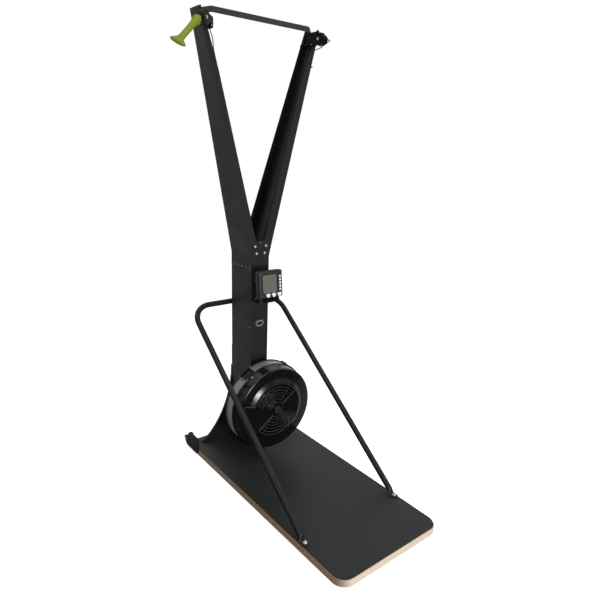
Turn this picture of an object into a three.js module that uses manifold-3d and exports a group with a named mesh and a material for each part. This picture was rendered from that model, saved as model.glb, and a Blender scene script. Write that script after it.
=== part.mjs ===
import * as THREE from 'three';
import { mergeVertices } from 'three/addons/utils/BufferGeometryUtils.js';
import Module from 'manifold-3d';

const wasm = await Module();
wasm.setup();

// Ski machine on a floor board, in millimetres.
// X runs to the right of a user who faces the tower, Y runs from the user to the tower, Z is up.
// The origin is on the floor under the middle of the board.

// Board and what it stands on
const BOARD_WIDTH = 600;
const BOARD_LENGTH = 1270;
const BOARD_THICKNESS = 36;
const BOARD_CORNER_RADIUS = 60;
const MAT_THICKNESS = 4;
const STRIP_THICKNESS = 4;

// Tower
const COLUMN_WIDTH = 103;
const COLUMN_DEPTH = 190;
const COLUMN_REAR_SETBACK = 63;
const COLUMN_WALL = 2.5;
const SEAM_HEIGHT = 1048;
const SPLAY_RISE = 68;
const NOTCH_RISE = 76;
const ARM_TOP_HEIGHT = 2141;
const ARM_TOP_SPAN = 630;
const ARM_TOP_DEPTH = 71;
const ARM_SHEET = 3;
const FLANGE_WIDTH_LOW = 45;
const FLANGE_WIDTH_HIGH = 31;
const FRONT_FLANGE_DROP = 71;
const FLANGE_TIP_WIDTH = 23;
const FLANGE_TAPER_LENGTH = 150;
const TOP_FLANGE_LENGTH = 69;
const TOP_FLANGE_WIDTH = 16;

// Brace tube that stands on the board and passes behind the tower
const BRACE_DIAMETER = 29;
const BRACE_TOP_SPAN = 542;
const BRACE_FOOT_SPAN = 562;
const BRACE_HEIGHT = 835;
const BRACE_BEHIND_COLUMN = 41;
const BRACE_FOOT_FROM_FRONT = 290;
const BRACE_BEND_RADIUS = 105;

// Fan
const FAN_HEIGHT = 338;
const FAN_RADIUS = 223;
const FAN_FRONT_REACH = 157;
const COVER_DEPTH = 60;
const BAND_DEPTH = 53;
const GRILLE_RADIUS = 144;
const SHAFT_RADIUS = 10;

// Pulleys, cords and handles
const SWIVEL_INSET = 35.5;
const SWIVEL_BEHIND_FRONT = 6;
const WHEEL_BELOW_TOP = 50;
const WHEEL_AHEAD = 79;
const WHEEL_GROOVE_RADIUS = 22;
const WHEEL_RIM_RADIUS = 26;
const LEFT_YOKE_TURN = 47;
const CORD_RADIUS = 2;
const DRUM_RADIUS = 26;

// Monitor
const MONITOR_WIDTH = 138;
const MONITOR_HEIGHT = 134;
const MONITOR_DEPTH = 32;
const MONITOR_HINGE_BELOW_SEAM = 138;
const MONITOR_HINGE_REACH = 79;
const MONITOR_TILT = 6;

// Clearance between pieces that touch on the real object
const CLEAR = 0.3;
// How far a cutting shape runs past the surface that it cuts
const OVERRUN = 5;
// Points closer than this are one point
const WELD = 0.0005;

// Places that follow from the driving dimensions
const boardFrontY = -BOARD_LENGTH / 2;
const boardRearY = BOARD_LENGTH / 2;
const boardHalfWidth = BOARD_WIDTH / 2;
const boardBottomZ = STRIP_THICKNESS;
const boardTopZ = boardBottomZ + BOARD_THICKNESS;
const matTopZ = boardTopZ + MAT_THICKNESS;
const columnRearY = boardRearY - COLUMN_REAR_SETBACK;
const columnFrontY = columnRearY - COLUMN_DEPTH;
const columnHalfWidth = COLUMN_WIDTH / 2;
const fanFrontY = columnFrontY - FAN_FRONT_REACH;
const splayZ = SEAM_HEIGHT + SPLAY_RISE;
const notchZ = splayZ + NOTCH_RISE;
const frontFlangeTopZ = ARM_TOP_HEIGHT - FRONT_FLANGE_DROP;
const topFlangeBottomZ = ARM_TOP_HEIGHT - TOP_FLANGE_LENGTH;
const wheelZ = ARM_TOP_HEIGHT - WHEEL_BELOW_TOP;
const monitorHingeZ = SEAM_HEIGHT - MONITOR_HINGE_BELOW_SEAM;
const fanCentre = new THREE.Vector3(0, 0, FAN_HEIGHT);

// Shape makers

// Leaves only the positions, joins shared points, drops collapsed triangles and faces them outwards.
function closed(geometry) {
  const bare = geometry.index ? geometry.toNonIndexed() : geometry.clone();
  for (const name of Object.keys(bare.attributes)) {
    if (name !== 'position') bare.deleteAttribute(name);
  }
  const merged = mergeVertices(bare, WELD);
  const corners = merged.index.array;
  const kept = [];
  for (let i = 0; i < corners.length; i += 3) {
    const [a, b, c] = [corners[i], corners[i + 1], corners[i + 2]];
    if (a !== b && b !== c && c !== a) kept.push(a, b, c);
  }
  const position = merged.getAttribute('position');
  const [p, q, r] = [new THREE.Vector3(), new THREE.Vector3(), new THREE.Vector3()];
  let volume = 0;
  for (let i = 0; i < kept.length; i += 3) {
    p.fromBufferAttribute(position, kept[i]);
    q.fromBufferAttribute(position, kept[i + 1]);
    r.fromBufferAttribute(position, kept[i + 2]);
    volume += p.dot(q.cross(r));
  }
  if (volume < 0) kept.reverse();
  merged.setIndex(kept);
  return merged;
}

function solidOf(geometry) {
  const mesh = closed(geometry);
  return new wasm.Manifold(new wasm.Mesh({
    numProp: 3,
    vertProperties: new Float32Array(mesh.getAttribute('position').array),
    triVerts: new Uint32Array(mesh.index.array),
  }));
}

function geometryOf(solid) {
  const mesh = solid.getMesh();
  const geometry = new THREE.BufferGeometry();
  geometry.setAttribute('position', new THREE.BufferAttribute(mesh.vertProperties, 3));
  geometry.setIndex(new THREE.BufferAttribute(mesh.triVerts, 1));
  return geometry;
}

function join(first, ...others) {
  let solid = solidOf(first);
  for (const other of others) solid = solid.add(solidOf(other));
  return geometryOf(solid);
}

function cut(first, ...tools) {
  let solid = solidOf(first);
  for (const tool of tools) solid = solid.subtract(solidOf(tool));
  return geometryOf(solid);
}

function block(x0, x1, y0, y1, z0, z1) {
  const geometry = new THREE.BoxGeometry(x1 - x0, y1 - y0, z1 - z0);
  return geometry.translate((x0 + x1) / 2, (y0 + y1) / 2, (z0 + z1) / 2);
}

// A block between a low and a high rectangle, each given as x, y and z values.
function leaningBlock(low, high) {
  const geometry = new THREE.BoxGeometry(1, 1, 1);
  const position = geometry.getAttribute('position');
  for (let i = 0; i < position.count; i += 1) {
    const end = position.getZ(i) < 0 ? low : high;
    const x = position.getX(i) < 0 ? end.x[0] : end.x[1];
    const y = position.getY(i) < 0 ? end.y[0] : end.y[1];
    position.setXYZ(i, x, y, end.z);
  }
  return geometry;
}

const slabAxes = {
  x: [new THREE.Vector3(0, 1, 0), new THREE.Vector3(0, 0, 1), new THREE.Vector3(1, 0, 0)],
  y: [new THREE.Vector3(1, 0, 0), new THREE.Vector3(0, 0, 1), new THREE.Vector3(0, -1, 0)],
  z: [new THREE.Vector3(1, 0, 0), new THREE.Vector3(0, 1, 0), new THREE.Vector3(0, 0, 1)],
};

// A flat plate cut to an outline, square to one axis and lying between two places on it.
function slab(outline, axis, from, to, curveSegments = 6, bevel = {}) {
  const bevelDepth = bevel.bevelThickness ?? 0;
  const options = { depth: to - from - bevelDepth, bevelEnabled: false, curveSegments, ...bevel };
  const geometry = new THREE.ExtrudeGeometry(outline, options);
  geometry.applyMatrix4(new THREE.Matrix4().makeBasis(...slabAxes[axis]));
  const start = axis === 'y' ? to : from;
  return geometry.translate(...slabAxes[axis][2].clone().multiply(slabAxes[axis][2]).multiplyScalar(start));
}

function outlineOf(points) {
  return new THREE.Shape(points.map(([u, v]) => new THREE.Vector2(u, v)));
}

// An outline with a rounded corner at each of its points.
function roundedOutline(points, radius) {
  const corners = points.map(([u, v]) => new THREE.Vector2(u, v));
  const shape = new THREE.Shape();
  corners.forEach((corner, i) => {
    const before = corners[(i + corners.length - 1) % corners.length];
    const after = corners[(i + 1) % corners.length];
    const inward = Math.min(radius, corner.distanceTo(before) / 2);
    const onward = Math.min(radius, corner.distanceTo(after) / 2);
    const enter = corner.clone().add(before.clone().sub(corner).setLength(inward));
    const leave = corner.clone().add(after.clone().sub(corner).setLength(onward));
    if (i === 0) shape.moveTo(enter.x, enter.y);
    else shape.lineTo(enter.x, enter.y);
    shape.quadraticCurveTo(corner.x, corner.y, leave.x, leave.y);
  });
  shape.closePath();
  return shape;
}

function rectangle(u0, u1, v0, v1) {
  return [[u0, v0], [u1, v0], [u1, v1], [u0, v1]];
}

// A turned piece: the profile's points are [radius, place along the axis].
function turned(profile, axis, sides) {
  const points = profile.map(([radius, along]) => new THREE.Vector2(radius, along));
  const geometry = new THREE.LatheGeometry(points, sides);
  if (axis === 'z') geometry.rotateX(Math.PI / 2);
  if (axis === 'x') geometry.rotateZ(-Math.PI / 2);
  return geometry;
}

function turnedRing(profile, axis, sides) {
  return turned([...profile, profile[0]], axis, sides);
}

function rod(axis, radius, from, to, sides = 16) {
  return turned([[0, from], [radius, from], [radius, to], [0, to]], axis, sides);
}

// A swept bar: each station has a centre, two half sizes and the direction that counts as up.
function sweep(stations, section) {
  const rings = stations.map((station, i) => {
    const before = stations[Math.max(i - 1, 0)].at;
    const after = stations[Math.min(i + 1, stations.length - 1)].at;
    const along = after.clone().sub(station.at).normalize();
    along.add(station.at.clone().sub(before).normalize()).normalize();
    const side = along.clone().cross(station.up).normalize();
    const up = side.clone().cross(along).normalize();
    return section.map(([u, v]) => station.at.clone()
      .addScaledVector(side, u * station.wide).addScaledVector(up, v * station.high));
  });
  const count = section.length;
  const triangles = [];
  for (let i = 0; i + 1 < rings.length; i += 1) {
    for (let k = 0; k < count; k += 1) {
      const next = (k + 1) % count;
      triangles.push(rings[i][k], rings[i][next], rings[i + 1][next]);
      triangles.push(rings[i][k], rings[i + 1][next], rings[i + 1][k]);
    }
  }
  const [first, last] = [rings[0], rings[rings.length - 1]];
  for (let k = 1; k + 1 < count; k += 1) {
    triangles.push(first[0], first[k + 1], first[k]);
    triangles.push(last[0], last[k], last[k + 1]);
  }
  return new THREE.BufferGeometry().setFromPoints(triangles);
}

function roundSection(sides) {
  const turn = (k) => (2 * Math.PI * k) / sides;
  return Array.from({ length: sides }, (_, k) => [Math.cos(turn(k)), Math.sin(turn(k))]);
}

// A path through corner points, with an arc of the given radius at each inner corner.
function bentPath(corners, radius, arcSteps) {
  const path = [corners[0].clone()];
  for (let i = 1; i + 1 < corners.length; i += 1) {
    const back = corners[i - 1].clone().sub(corners[i]).normalize();
    const on = corners[i + 1].clone().sub(corners[i]).normalize();
    const halfAngle = back.angleTo(on) / 2;
    const reach = radius / Math.tan(halfAngle);
    const middle = back.clone().add(on).setLength(radius / Math.sin(halfAngle)).add(corners[i]);
    const from = corners[i].clone().addScaledVector(back, reach).sub(middle);
    const to = corners[i].clone().addScaledVector(on, reach).sub(middle);
    const sweepAngle = from.angleTo(to);
    const axle = from.clone().cross(to).normalize();
    for (let k = 0; k <= arcSteps; k += 1) {
      path.push(from.clone().applyAxisAngle(axle, (sweepAngle * k) / arcSteps).add(middle));
    }
  }
  path.push(corners[corners.length - 1].clone());
  return path;
}

function tubeAlong(path, radius, sides, up) {
  const stations = path.map((at) => ({ at, wide: radius, high: radius, up }));
  return sweep(stations, roundSection(sides));
}

function mirrored(geometry) {
  return closed(geometry.clone().scale(-1, 1, 1));
}

const degrees = THREE.MathUtils.degToRad;
const worldUp = new THREE.Vector3(0, 0, 1);
const alongX = new THREE.Vector3(1, 0, 0);
const alongY = new THREE.Vector3(0, 1, 0);

// Finishes seen on the object
const finishes = {
  birchPly: { color: 0xd9c3a0, roughness: 0.6, metalness: 0 },
  matRubber: { color: 0x323534, roughness: 0.85, metalness: 0 },
  blackRubber: { color: 0x1e1e1e, roughness: 0.8, metalness: 0 },
  blackPowder: { color: 0x343436, roughness: 0.45, metalness: 0.2 },
  blackPlastic: { color: 0x1b1c1d, roughness: 0.5, metalness: 0 },
  glossPlastic: { color: 0x101213, roughness: 0.18, metalness: 0 },
  perforatedSteel: { color: 0x9a9c98, roughness: 0.4, metalness: 0.8 },
  castIron: { color: 0x2a2b2d, roughness: 0.5, metalness: 0.6 },
  brightSteel: { color: 0xb8b9ba, roughness: 0.25, metalness: 1 },
  limeGrip: { color: 0x86962a, roughness: 0.6, metalness: 0 },
  blackCord: { color: 0x151515, roughness: 0.8, metalness: 0 },
  whiteKey: { color: 0xe2e3e0, roughness: 0.45, metalness: 0 },
  screenGlass: { color: 0x7e877a, roughness: 0.2, metalness: 0 },
};

const machine = new THREE.Group();

function piece(name, geometry, finish, parent = machine) {
  const shape = closed(geometry);
  shape.computeVertexNormals();
  const mesh = new THREE.Mesh(shape, new THREE.MeshStandardMaterial(finishes[finish]));
  mesh.name = name;
  parent.add(mesh);
  return mesh;
}

// Floor strips, board and mat
const STRIP_WIDTH = 60;
const STRIP_INSET = 25;
const STRIP_END_INSET = 55;
const MAT_INSET = 3;

function boardOutline(inset) {
  const side = boardHalfWidth - inset;
  const corner = BOARD_CORNER_RADIUS - inset;
  const outline = new THREE.Shape();
  outline.moveTo(side, boardRearY - inset);
  outline.lineTo(-side, boardRearY - inset);
  outline.lineTo(-side, boardFrontY + inset + corner);
  outline.absarc(corner - side, boardFrontY + inset + corner, corner, Math.PI, 1.5 * Math.PI);
  outline.absarc(side - corner, boardFrontY + inset + corner, corner, 1.5 * Math.PI, 2 * Math.PI);
  outline.closePath();
  return outline;
}

const stripReach = BOARD_LENGTH / 2 - STRIP_INSET - STRIP_WIDTH;
const stripPlaces = { front: -stripReach, middle: 0, rear: stripReach };
for (const [where, y] of Object.entries(stripPlaces)) {
  const side = boardHalfWidth - STRIP_END_INSET;
  const strip = block(-side, side, y - STRIP_WIDTH / 2, y + STRIP_WIDTH / 2, 0, STRIP_THICKNESS);
  piece(`floor_strip_${where}`, strip, 'blackRubber');
}
piece('base_board', slab(boardOutline(0), 'z', boardBottomZ, boardTopZ, 5), 'birchPly');
piece('base_mat', slab(boardOutline(MAT_INSET), 'z', boardTopZ, matTopZ, 5), 'matRubber');

// Foot plate under the tower
const FOOT_PLATE_WIDTH = 176;
const FOOT_PLATE_THICKNESS = 5;
const FOOT_PLATE_FRONT_MARGIN = 4;
const FOOT_PLATE_CORNER = 12;
const footPlateTopZ = matTopZ + FOOT_PLATE_THICKNESS;
const footPlateHalf = FOOT_PLATE_WIDTH / 2;
const footPlateOutline = roundedOutline(
  rectangle(-footPlateHalf, footPlateHalf, columnFrontY - FOOT_PLATE_FRONT_MARGIN, columnRearY),
  FOOT_PLATE_CORNER,
);
piece('foot_plate', slab(footPlateOutline, 'z', matTopZ, footPlateTopZ, 3), 'blackPowder');

// Column: a folded box of sheet steel, open at both ends
const SHAFT_HOLE_RADIUS = 16;
const columnShell = cut(
  block(-columnHalfWidth, columnHalfWidth, columnFrontY, columnRearY, footPlateTopZ, SEAM_HEIGHT),
  block(
    COLUMN_WALL - columnHalfWidth, columnHalfWidth - COLUMN_WALL,
    columnFrontY + COLUMN_WALL, columnRearY - COLUMN_WALL,
    footPlateTopZ - OVERRUN, SEAM_HEIGHT + OVERRUN,
  ),
  rod('y', SHAFT_HOLE_RADIUS, columnFrontY - OVERRUN, columnFrontY + COLUMN_WALL + OVERRUN)
    .translate(0, 0, FAN_HEIGHT),
);
piece('column', columnShell, 'blackPowder');

// Back panel: a plate that flares from the column down to the board, with a turned edge and a foot
const PANEL_THICKNESS = 3;
const PANEL_FOOT_HALF_WIDTH = 255;
const PANEL_TANGENT_HEIGHT = 480;
const PANEL_TOP_HEIGHT = 600;
const PANEL_LIP_DEPTH = 9;
const PANEL_FOOT_DEPTH = 40;
const PANEL_CURVE_STEPS = 12;
const flareFootShare = 0.47;
const flareFootRiseShare = 0.125;
const flareTopShare = 0.5;

function flareEdge(inset) {
  const low = new THREE.Vector2(PANEL_FOOT_HALF_WIDTH - inset, matTopZ);
  const high = new THREE.Vector2(columnHalfWidth - inset, PANEL_TANGENT_HEIGHT);
  const reach = low.x - high.x;
  const rise = high.y - low.y;
  const lowPull = new THREE.Vector2(low.x - reach * flareFootShare, low.y + rise * flareFootRiseShare);
  const highPull = new THREE.Vector2(high.x, high.y - rise * flareTopShare);
  return new THREE.CubicBezierCurve(low, lowPull, highPull, high).getPoints(PANEL_CURVE_STEPS);
}

const panelFrontY = columnRearY + CLEAR;
const panelBackY = panelFrontY + PANEL_THICKNESS;
const rightEdge = flareEdge(0).map((point) => [point.x, point.y]);
const panelHalf = [...rightEdge, [columnHalfWidth, PANEL_TOP_HEIGHT]];
const panelOutline = outlineOf([...panelHalf, ...panelHalf.map(([x, z]) => [-x, z]).reverse()]);
const lipInner = flareEdge(PANEL_THICKNESS).map((point) => [point.x, point.y]);
const lipOutline = outlineOf([...rightEdge, ...lipInner.reverse()]);
const lip = slab(lipOutline, 'y', panelFrontY, panelBackY + PANEL_LIP_DEPTH);
const panelFoot = block(
  -PANEL_FOOT_HALF_WIDTH, PANEL_FOOT_HALF_WIDTH,
  panelFrontY, panelFrontY + PANEL_FOOT_DEPTH, matTopZ, matTopZ + PANEL_THICKNESS,
);
const panel = join(slab(panelOutline, 'y', panelFrontY, panelBackY), panelFoot, lip, mirrored(lip));
piece('back_panel', panel, 'blackPowder');

// Transport wheels at the rear corners, each on a bolt through a plate on the board's edge
const WHEEL_RADIUS = 25;
const WHEEL_WIDTH = 18;
const WHEEL_BORE = 5.3;
const WHEEL_BOLT_RADIUS = 5;
const WHEEL_BOLT_HEAD_RADIUS = 9;
const WHEEL_BOLT_HEAD = 5;
const WHEEL_BEHIND_BOARD = 27.5;
const WHEEL_CENTRE_HEIGHT = 50;
const WHEEL_TREAD_CHAMFER = 3;
const BRACKET_PLATE = 5;
const BRACKET_CORNER = 14;
const BRACKET_REAR_REACH = 49;
const BRACKET_REAR_LOW = 20;
const BRACKET_REAR_HALF = 10;
const BRACKET_FRONT_REACH = 120;
const BRACKET_FRONT_LOW = 104;
const BRACKET_TOP = 112;
const BRACKET_WAIST = 56;
const BRACKET_BOTTOM = 10;

const transportWheelY = boardRearY + WHEEL_BEHIND_BOARD;
const bracketInnerX = boardHalfWidth + CLEAR;
const bracketOuterX = bracketInnerX + BRACKET_PLATE;
const wheelOuterX = boardHalfWidth - CLEAR;
const bracketOutline = roundedOutline([
  [boardRearY - BRACKET_FRONT_LOW, BRACKET_BOTTOM],
  [boardRearY + BRACKET_REAR_LOW, BRACKET_BOTTOM],
  [boardRearY + BRACKET_REAR_REACH, WHEEL_CENTRE_HEIGHT - BRACKET_REAR_HALF],
  [boardRearY + BRACKET_REAR_REACH, WHEEL_CENTRE_HEIGHT + BRACKET_REAR_HALF],
  [boardRearY - BRACKET_REAR_REACH, BRACKET_TOP],
  [boardRearY - BRACKET_FRONT_REACH, BRACKET_TOP],
  [boardRearY - BRACKET_FRONT_REACH, BRACKET_WAIST],
], BRACKET_CORNER);
const bracketPlate = cut(
  slab(bracketOutline, 'x', bracketInnerX, bracketOuterX, 3),
  rod('x', WHEEL_BORE, bracketInnerX - OVERRUN, bracketOuterX + OVERRUN)
    .translate(0, transportWheelY, WHEEL_CENTRE_HEIGHT),
);
const transportWheel = turnedRing([
  [WHEEL_BORE, 0],
  [WHEEL_RADIUS - WHEEL_TREAD_CHAMFER, 0],
  [WHEEL_RADIUS, WHEEL_TREAD_CHAMFER],
  [WHEEL_RADIUS, WHEEL_WIDTH - WHEEL_TREAD_CHAMFER],
  [WHEEL_RADIUS - WHEEL_TREAD_CHAMFER, WHEEL_WIDTH],
  [WHEEL_BORE, WHEEL_WIDTH],
], 'x', 24);
const boltNutX = wheelOuterX - WHEEL_WIDTH - CLEAR;
const wheelBolt = turned([
  [0, boltNutX - WHEEL_BOLT_HEAD],
  [WHEEL_BOLT_HEAD_RADIUS, boltNutX - WHEEL_BOLT_HEAD],
  [WHEEL_BOLT_HEAD_RADIUS, boltNutX],
  [WHEEL_BOLT_RADIUS, boltNutX],
  [WHEEL_BOLT_RADIUS, bracketOuterX + CLEAR],
  [WHEEL_BOLT_HEAD_RADIUS, bracketOuterX + CLEAR],
  [WHEEL_BOLT_HEAD_RADIUS, bracketOuterX + CLEAR + WHEEL_BOLT_HEAD],
  [0, bracketOuterX + CLEAR + WHEEL_BOLT_HEAD],
], 'x', 16);

for (const [side, sign] of [['left', -1], ['right', 1]]) {
  const handed = (geometry) => (sign > 0 ? geometry.clone() : mirrored(geometry));
  piece(`wheel_bracket_${side}`, handed(bracketPlate), 'blackPowder');
  const wheel = piece(`transport_wheel_${side}`, handed(transportWheel), 'blackRubber');
  wheel.position.set(sign * (wheelOuterX - WHEEL_WIDTH), transportWheelY, WHEEL_CENTRE_HEIGHT);
  const bolt = piece(`wheel_bolt_${side}`, handed(wheelBolt), 'brightSteel');
  bolt.position.set(0, transportWheelY, WHEEL_CENTRE_HEIGHT);
}

// Arms: two channels of folded sheet, open towards each other, that lean outwards and taper
function armAt(z) {
  const share = Math.max(0, (z - splayZ) / (ARM_TOP_HEIGHT - splayZ));
  const mix = THREE.MathUtils.lerp;
  return {
    outer: mix(columnHalfWidth, ARM_TOP_SPAN / 2, share),
    rear: columnFrontY + mix(COLUMN_DEPTH, ARM_TOP_DEPTH, share),
    flange: mix(FLANGE_WIDTH_LOW, FLANGE_WIDTH_HIGH, share),
  };
}

const armLean = Math.atan2(ARM_TOP_SPAN / 2 - columnHalfWidth, ARM_TOP_HEIGHT - splayZ);

function armSection(kind, z) {
  const { outer, rear, flange } = armAt(z);
  const sections = {
    web: { x: [outer - ARM_SHEET, outer], y: [columnFrontY, rear] },
    frontFlange: { x: [outer - flange, outer], y: [columnFrontY, columnFrontY + ARM_SHEET] },
    rearFlange: { x: [outer - flange, outer], y: [rear - ARM_SHEET, rear] },
  };
  return { ...sections[kind], z };
}

function armPart(kind, from, to) {
  return leaningBlock(armSection(kind, from), armSection(kind, to));
}

// Below the pulley the front flange narrows to its end.
const flangeTaperZ = frontFlangeTopZ - FLANGE_TAPER_LENGTH;
const flangeTip = armSection('frontFlange', frontFlangeTopZ);
flangeTip.x = [flangeTip.x[1] - FLANGE_TIP_WIDTH, flangeTip.x[1]];

// Above the pulley the front flange starts again, narrow where the pulley swings past it.
const overTopZ = ARM_TOP_HEIGHT + TOP_FLANGE_WIDTH;
const topFlangeEnds = [topFlangeBottomZ, overTopZ].map((z) => {
  const { outer } = armAt(z);
  const width = z === topFlangeBottomZ ? ARM_SHEET + CLEAR : TOP_FLANGE_WIDTH;
  return { x: [outer - width, outer], y: [columnFrontY, columnFrontY + ARM_SHEET], z };
});
const aboveArm = block(-ARM_TOP_SPAN, ARM_TOP_SPAN, columnFrontY - OVERRUN, columnRearY, 0, ARM_TOP_SPAN)
  .rotateY(armLean).translate(ARM_TOP_SPAN / 2, 0, ARM_TOP_HEIGHT);

const arm = cut(join(
  armPart('web', SEAM_HEIGHT, splayZ),
  armPart('web', splayZ, overTopZ),
  armPart('rearFlange', SEAM_HEIGHT, splayZ),
  armPart('rearFlange', splayZ, overTopZ),
  armPart('frontFlange', notchZ + CLEAR, flangeTaperZ),
  leaningBlock(armSection('frontFlange', flangeTaperZ), flangeTip),
  leaningBlock(...topFlangeEnds),
), aboveArm);
piece('arm_right', arm, 'blackPowder');
piece('arm_left', mirrored(arm), 'blackPowder');

// Front plate that closes the tower below the fork
const plateSide = columnHalfWidth - ARM_SHEET - CLEAR;
const plateTopSide = armAt(notchZ).outer - ARM_SHEET - CLEAR;
const frontPlateOutline = outlineOf([
  [-plateSide, SEAM_HEIGHT],
  [plateSide, SEAM_HEIGHT],
  [plateSide, splayZ],
  [plateTopSide, notchZ],
  [-plateTopSide, notchZ],
  [-plateSide, splayZ],
]);
const frontPlate = slab(frontPlateOutline, 'y', columnFrontY, columnFrontY + ARM_SHEET);
piece('front_plate', frontPlate, 'blackPowder');

// Crossbar: a flat bar between the arm tops, its ends turned back against the arms
const BAR_HEIGHT = 22;
const BAR_THICKNESS = 8;
const BAR_BELOW_TOP = 2;
const BAR_BEHIND_FRONT = 5;
const BAR_TURN_REACH = 48.5;
const BAR_END_SETBACK = 50;
const BAR_END_LENGTH = 13;
const BAR_END_DROP = 10;
const BAR_BEND_RADIUS = 22;
const barZ = ARM_TOP_HEIGHT - BAR_BELOW_TOP;
const barEndZ = barZ - BAR_END_DROP;
const edgeShare = 0.72;
const barSeatZ = barEndZ - (edgeShare * BAR_HEIGHT) / 2;
const barEndX = armAt(barSeatZ).outer - ARM_SHEET - CLEAR - BAR_THICKNESS / 2;
const barFrontY = columnFrontY + BAR_BEHIND_FRONT;
const rightBarCorners = [
  new THREE.Vector3(barEndX - BAR_TURN_REACH, barFrontY, barZ),
  new THREE.Vector3(barEndX, columnFrontY + BAR_END_SETBACK, barEndZ),
  new THREE.Vector3(barEndX, columnFrontY + BAR_END_SETBACK + BAR_END_LENGTH, barEndZ),
];
const flipX = new THREE.Vector3(-1, 1, 1);
const leftBarCorners = rightBarCorners.map((corner) => corner.clone().multiply(flipX)).reverse();
const barPath = bentPath([...leftBarCorners, ...rightBarCorners], BAR_BEND_RADIUS, 4);
const barSection = [
  [1, edgeShare], [edgeShare, 1], [-edgeShare, 1], [-1, edgeShare],
  [-1, -edgeShare], [-edgeShare, -1], [edgeShare, -1], [1, -edgeShare],
];
const barStations = barPath.map((at) => (
  { at, wide: BAR_THICKNESS / 2, high: BAR_HEIGHT / 2, up: worldUp }));
piece('crossbar', sweep(barStations, barSection), 'blackPowder');

// Brace tube: one bent tube with flattened feet, and the collar that holds it behind the column
const BRACE_FOOT_CLIMB = 26;
const FOOT_TAB_WIDTH = 36;
const FOOT_TAB_THICKNESS = 7;
const FOOT_TAB_LENGTH = 36;
const FOOT_TAB_TIP = 7;
const FOOT_TAB_TIP_WIDTH = 18;
const FOOT_BOLT_FROM_END = 17;
const FOOT_TRANSITION = 17;
const COLLAR_WIDTH = 28;
const COLLAR_HEIGHT = 54;
const COLLAR_REAR_WALL = 6;

const braceRadius = BRACE_DIAMETER / 2;
const braceRunY = columnRearY + BRACE_BEHIND_COLUMN;
const braceFootY = boardFrontY + BRACE_FOOT_FROM_FRONT;
const braceFootX = BRACE_FOOT_SPAN / 2;
const footTabZ = matTopZ + CLEAR + FOOT_TAB_THICKNESS / 2;
const braceFoot = new THREE.Vector3(braceFootX, braceFootY, matTopZ + BRACE_FOOT_CLIMB);
const braceCorner = new THREE.Vector3(BRACE_TOP_SPAN / 2, braceRunY, BRACE_HEIGHT);
const legDirection = braceCorner.clone().sub(braceFoot).normalize();
const braceNormal = alongX.clone().cross(legDirection).normalize();
const tubePath = bentPath([
  braceFoot.clone().multiply(flipX),
  braceCorner.clone().multiply(flipX),
  braceCorner,
  braceFoot,
], BRACE_BEND_RADIUS, 8);
const tubeStations = tubePath.map((at) => (
  { at, wide: braceRadius, high: braceRadius, up: braceNormal }));
const tabHalf = FOOT_TAB_THICKNESS / 2;
const footTabEnd = FOOT_TRANSITION + FOOT_TAB_LENGTH;
const footStations = [
  {
    ahead: FOOT_TRANSITION / 2,
    z: (footTabZ + braceFoot.z) / 2,
    wide: (FOOT_TAB_WIDTH / 2 + braceRadius) / 2,
    high: (tabHalf + braceRadius) / 2,
  },
  { ahead: FOOT_TRANSITION, z: footTabZ, wide: FOOT_TAB_WIDTH / 2, high: tabHalf },
  { ahead: footTabEnd - FOOT_TAB_TIP, z: footTabZ, wide: FOOT_TAB_WIDTH / 2, high: tabHalf },
  { ahead: footTabEnd, z: footTabZ, wide: FOOT_TAB_TIP_WIDTH / 2, high: tabHalf },
].map(({ ahead, z, wide, high }) => (
  { at: new THREE.Vector3(braceFootX, braceFootY - ahead, z), wide, high, up: worldUp }));
const leftFootStations = footStations.map((station) => (
  { ...station, at: station.at.clone().multiply(flipX) })).reverse();
const braceSides = 14;
const braceBar = sweep([...leftFootStations, ...tubeStations, ...footStations], roundSection(braceSides));
const footBoltY = braceFootY - footTabEnd + FOOT_BOLT_FROM_END;
const FOOT_BOLT_RADIUS = 4;
const FOOT_BOLT_HEAD_RADIUS = 8;
const FOOT_BOLT_HEAD = 5;
const SOCKET_RADIUS = 3.5;
const SOCKET_DEPTH = 3;
const footBoltHoles = [-1, 1].map((sign) => (
  rod('z', FOOT_BOLT_RADIUS + CLEAR, matTopZ - OVERRUN, footTabZ + tabHalf + OVERRUN)
    .translate(sign * braceFootX, footBoltY, 0)));
piece('brace_tube', cut(braceBar, ...footBoltHoles), 'blackPowder');

const footBoltSeat = footTabZ + tabHalf + CLEAR;
const footBolt = turned([
  [0, matTopZ + CLEAR],
  [FOOT_BOLT_RADIUS, matTopZ + CLEAR],
  [FOOT_BOLT_RADIUS, footBoltSeat],
  [FOOT_BOLT_HEAD_RADIUS, footBoltSeat],
  [FOOT_BOLT_HEAD_RADIUS, footBoltSeat + FOOT_BOLT_HEAD],
  [SOCKET_RADIUS, footBoltSeat + FOOT_BOLT_HEAD],
  [SOCKET_RADIUS, footBoltSeat + FOOT_BOLT_HEAD - SOCKET_DEPTH],
  [0, footBoltSeat + FOOT_BOLT_HEAD - SOCKET_DEPTH],
], 'z', 12);
for (const [side, sign] of [['left', -1], ['right', 1]]) {
  const bolt = piece(`foot_bolt_${side}`, footBolt.clone(), 'brightSteel');
  bolt.position.set(sign * braceFootX, footBoltY, 0);
}

const collar = cut(
  block(
    -COLLAR_WIDTH / 2, COLLAR_WIDTH / 2,
    columnRearY + CLEAR, braceRunY + braceRadius + COLLAR_REAR_WALL,
    BRACE_HEIGHT - COLLAR_HEIGHT / 2, BRACE_HEIGHT + COLLAR_HEIGHT / 2,
  ),
  rod('x', braceRadius + CLEAR, -COLLAR_WIDTH, COLLAR_WIDTH).translate(0, braceRunY, BRACE_HEIGHT),
);
piece('brace_collar', collar, 'blackPowder');

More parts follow.
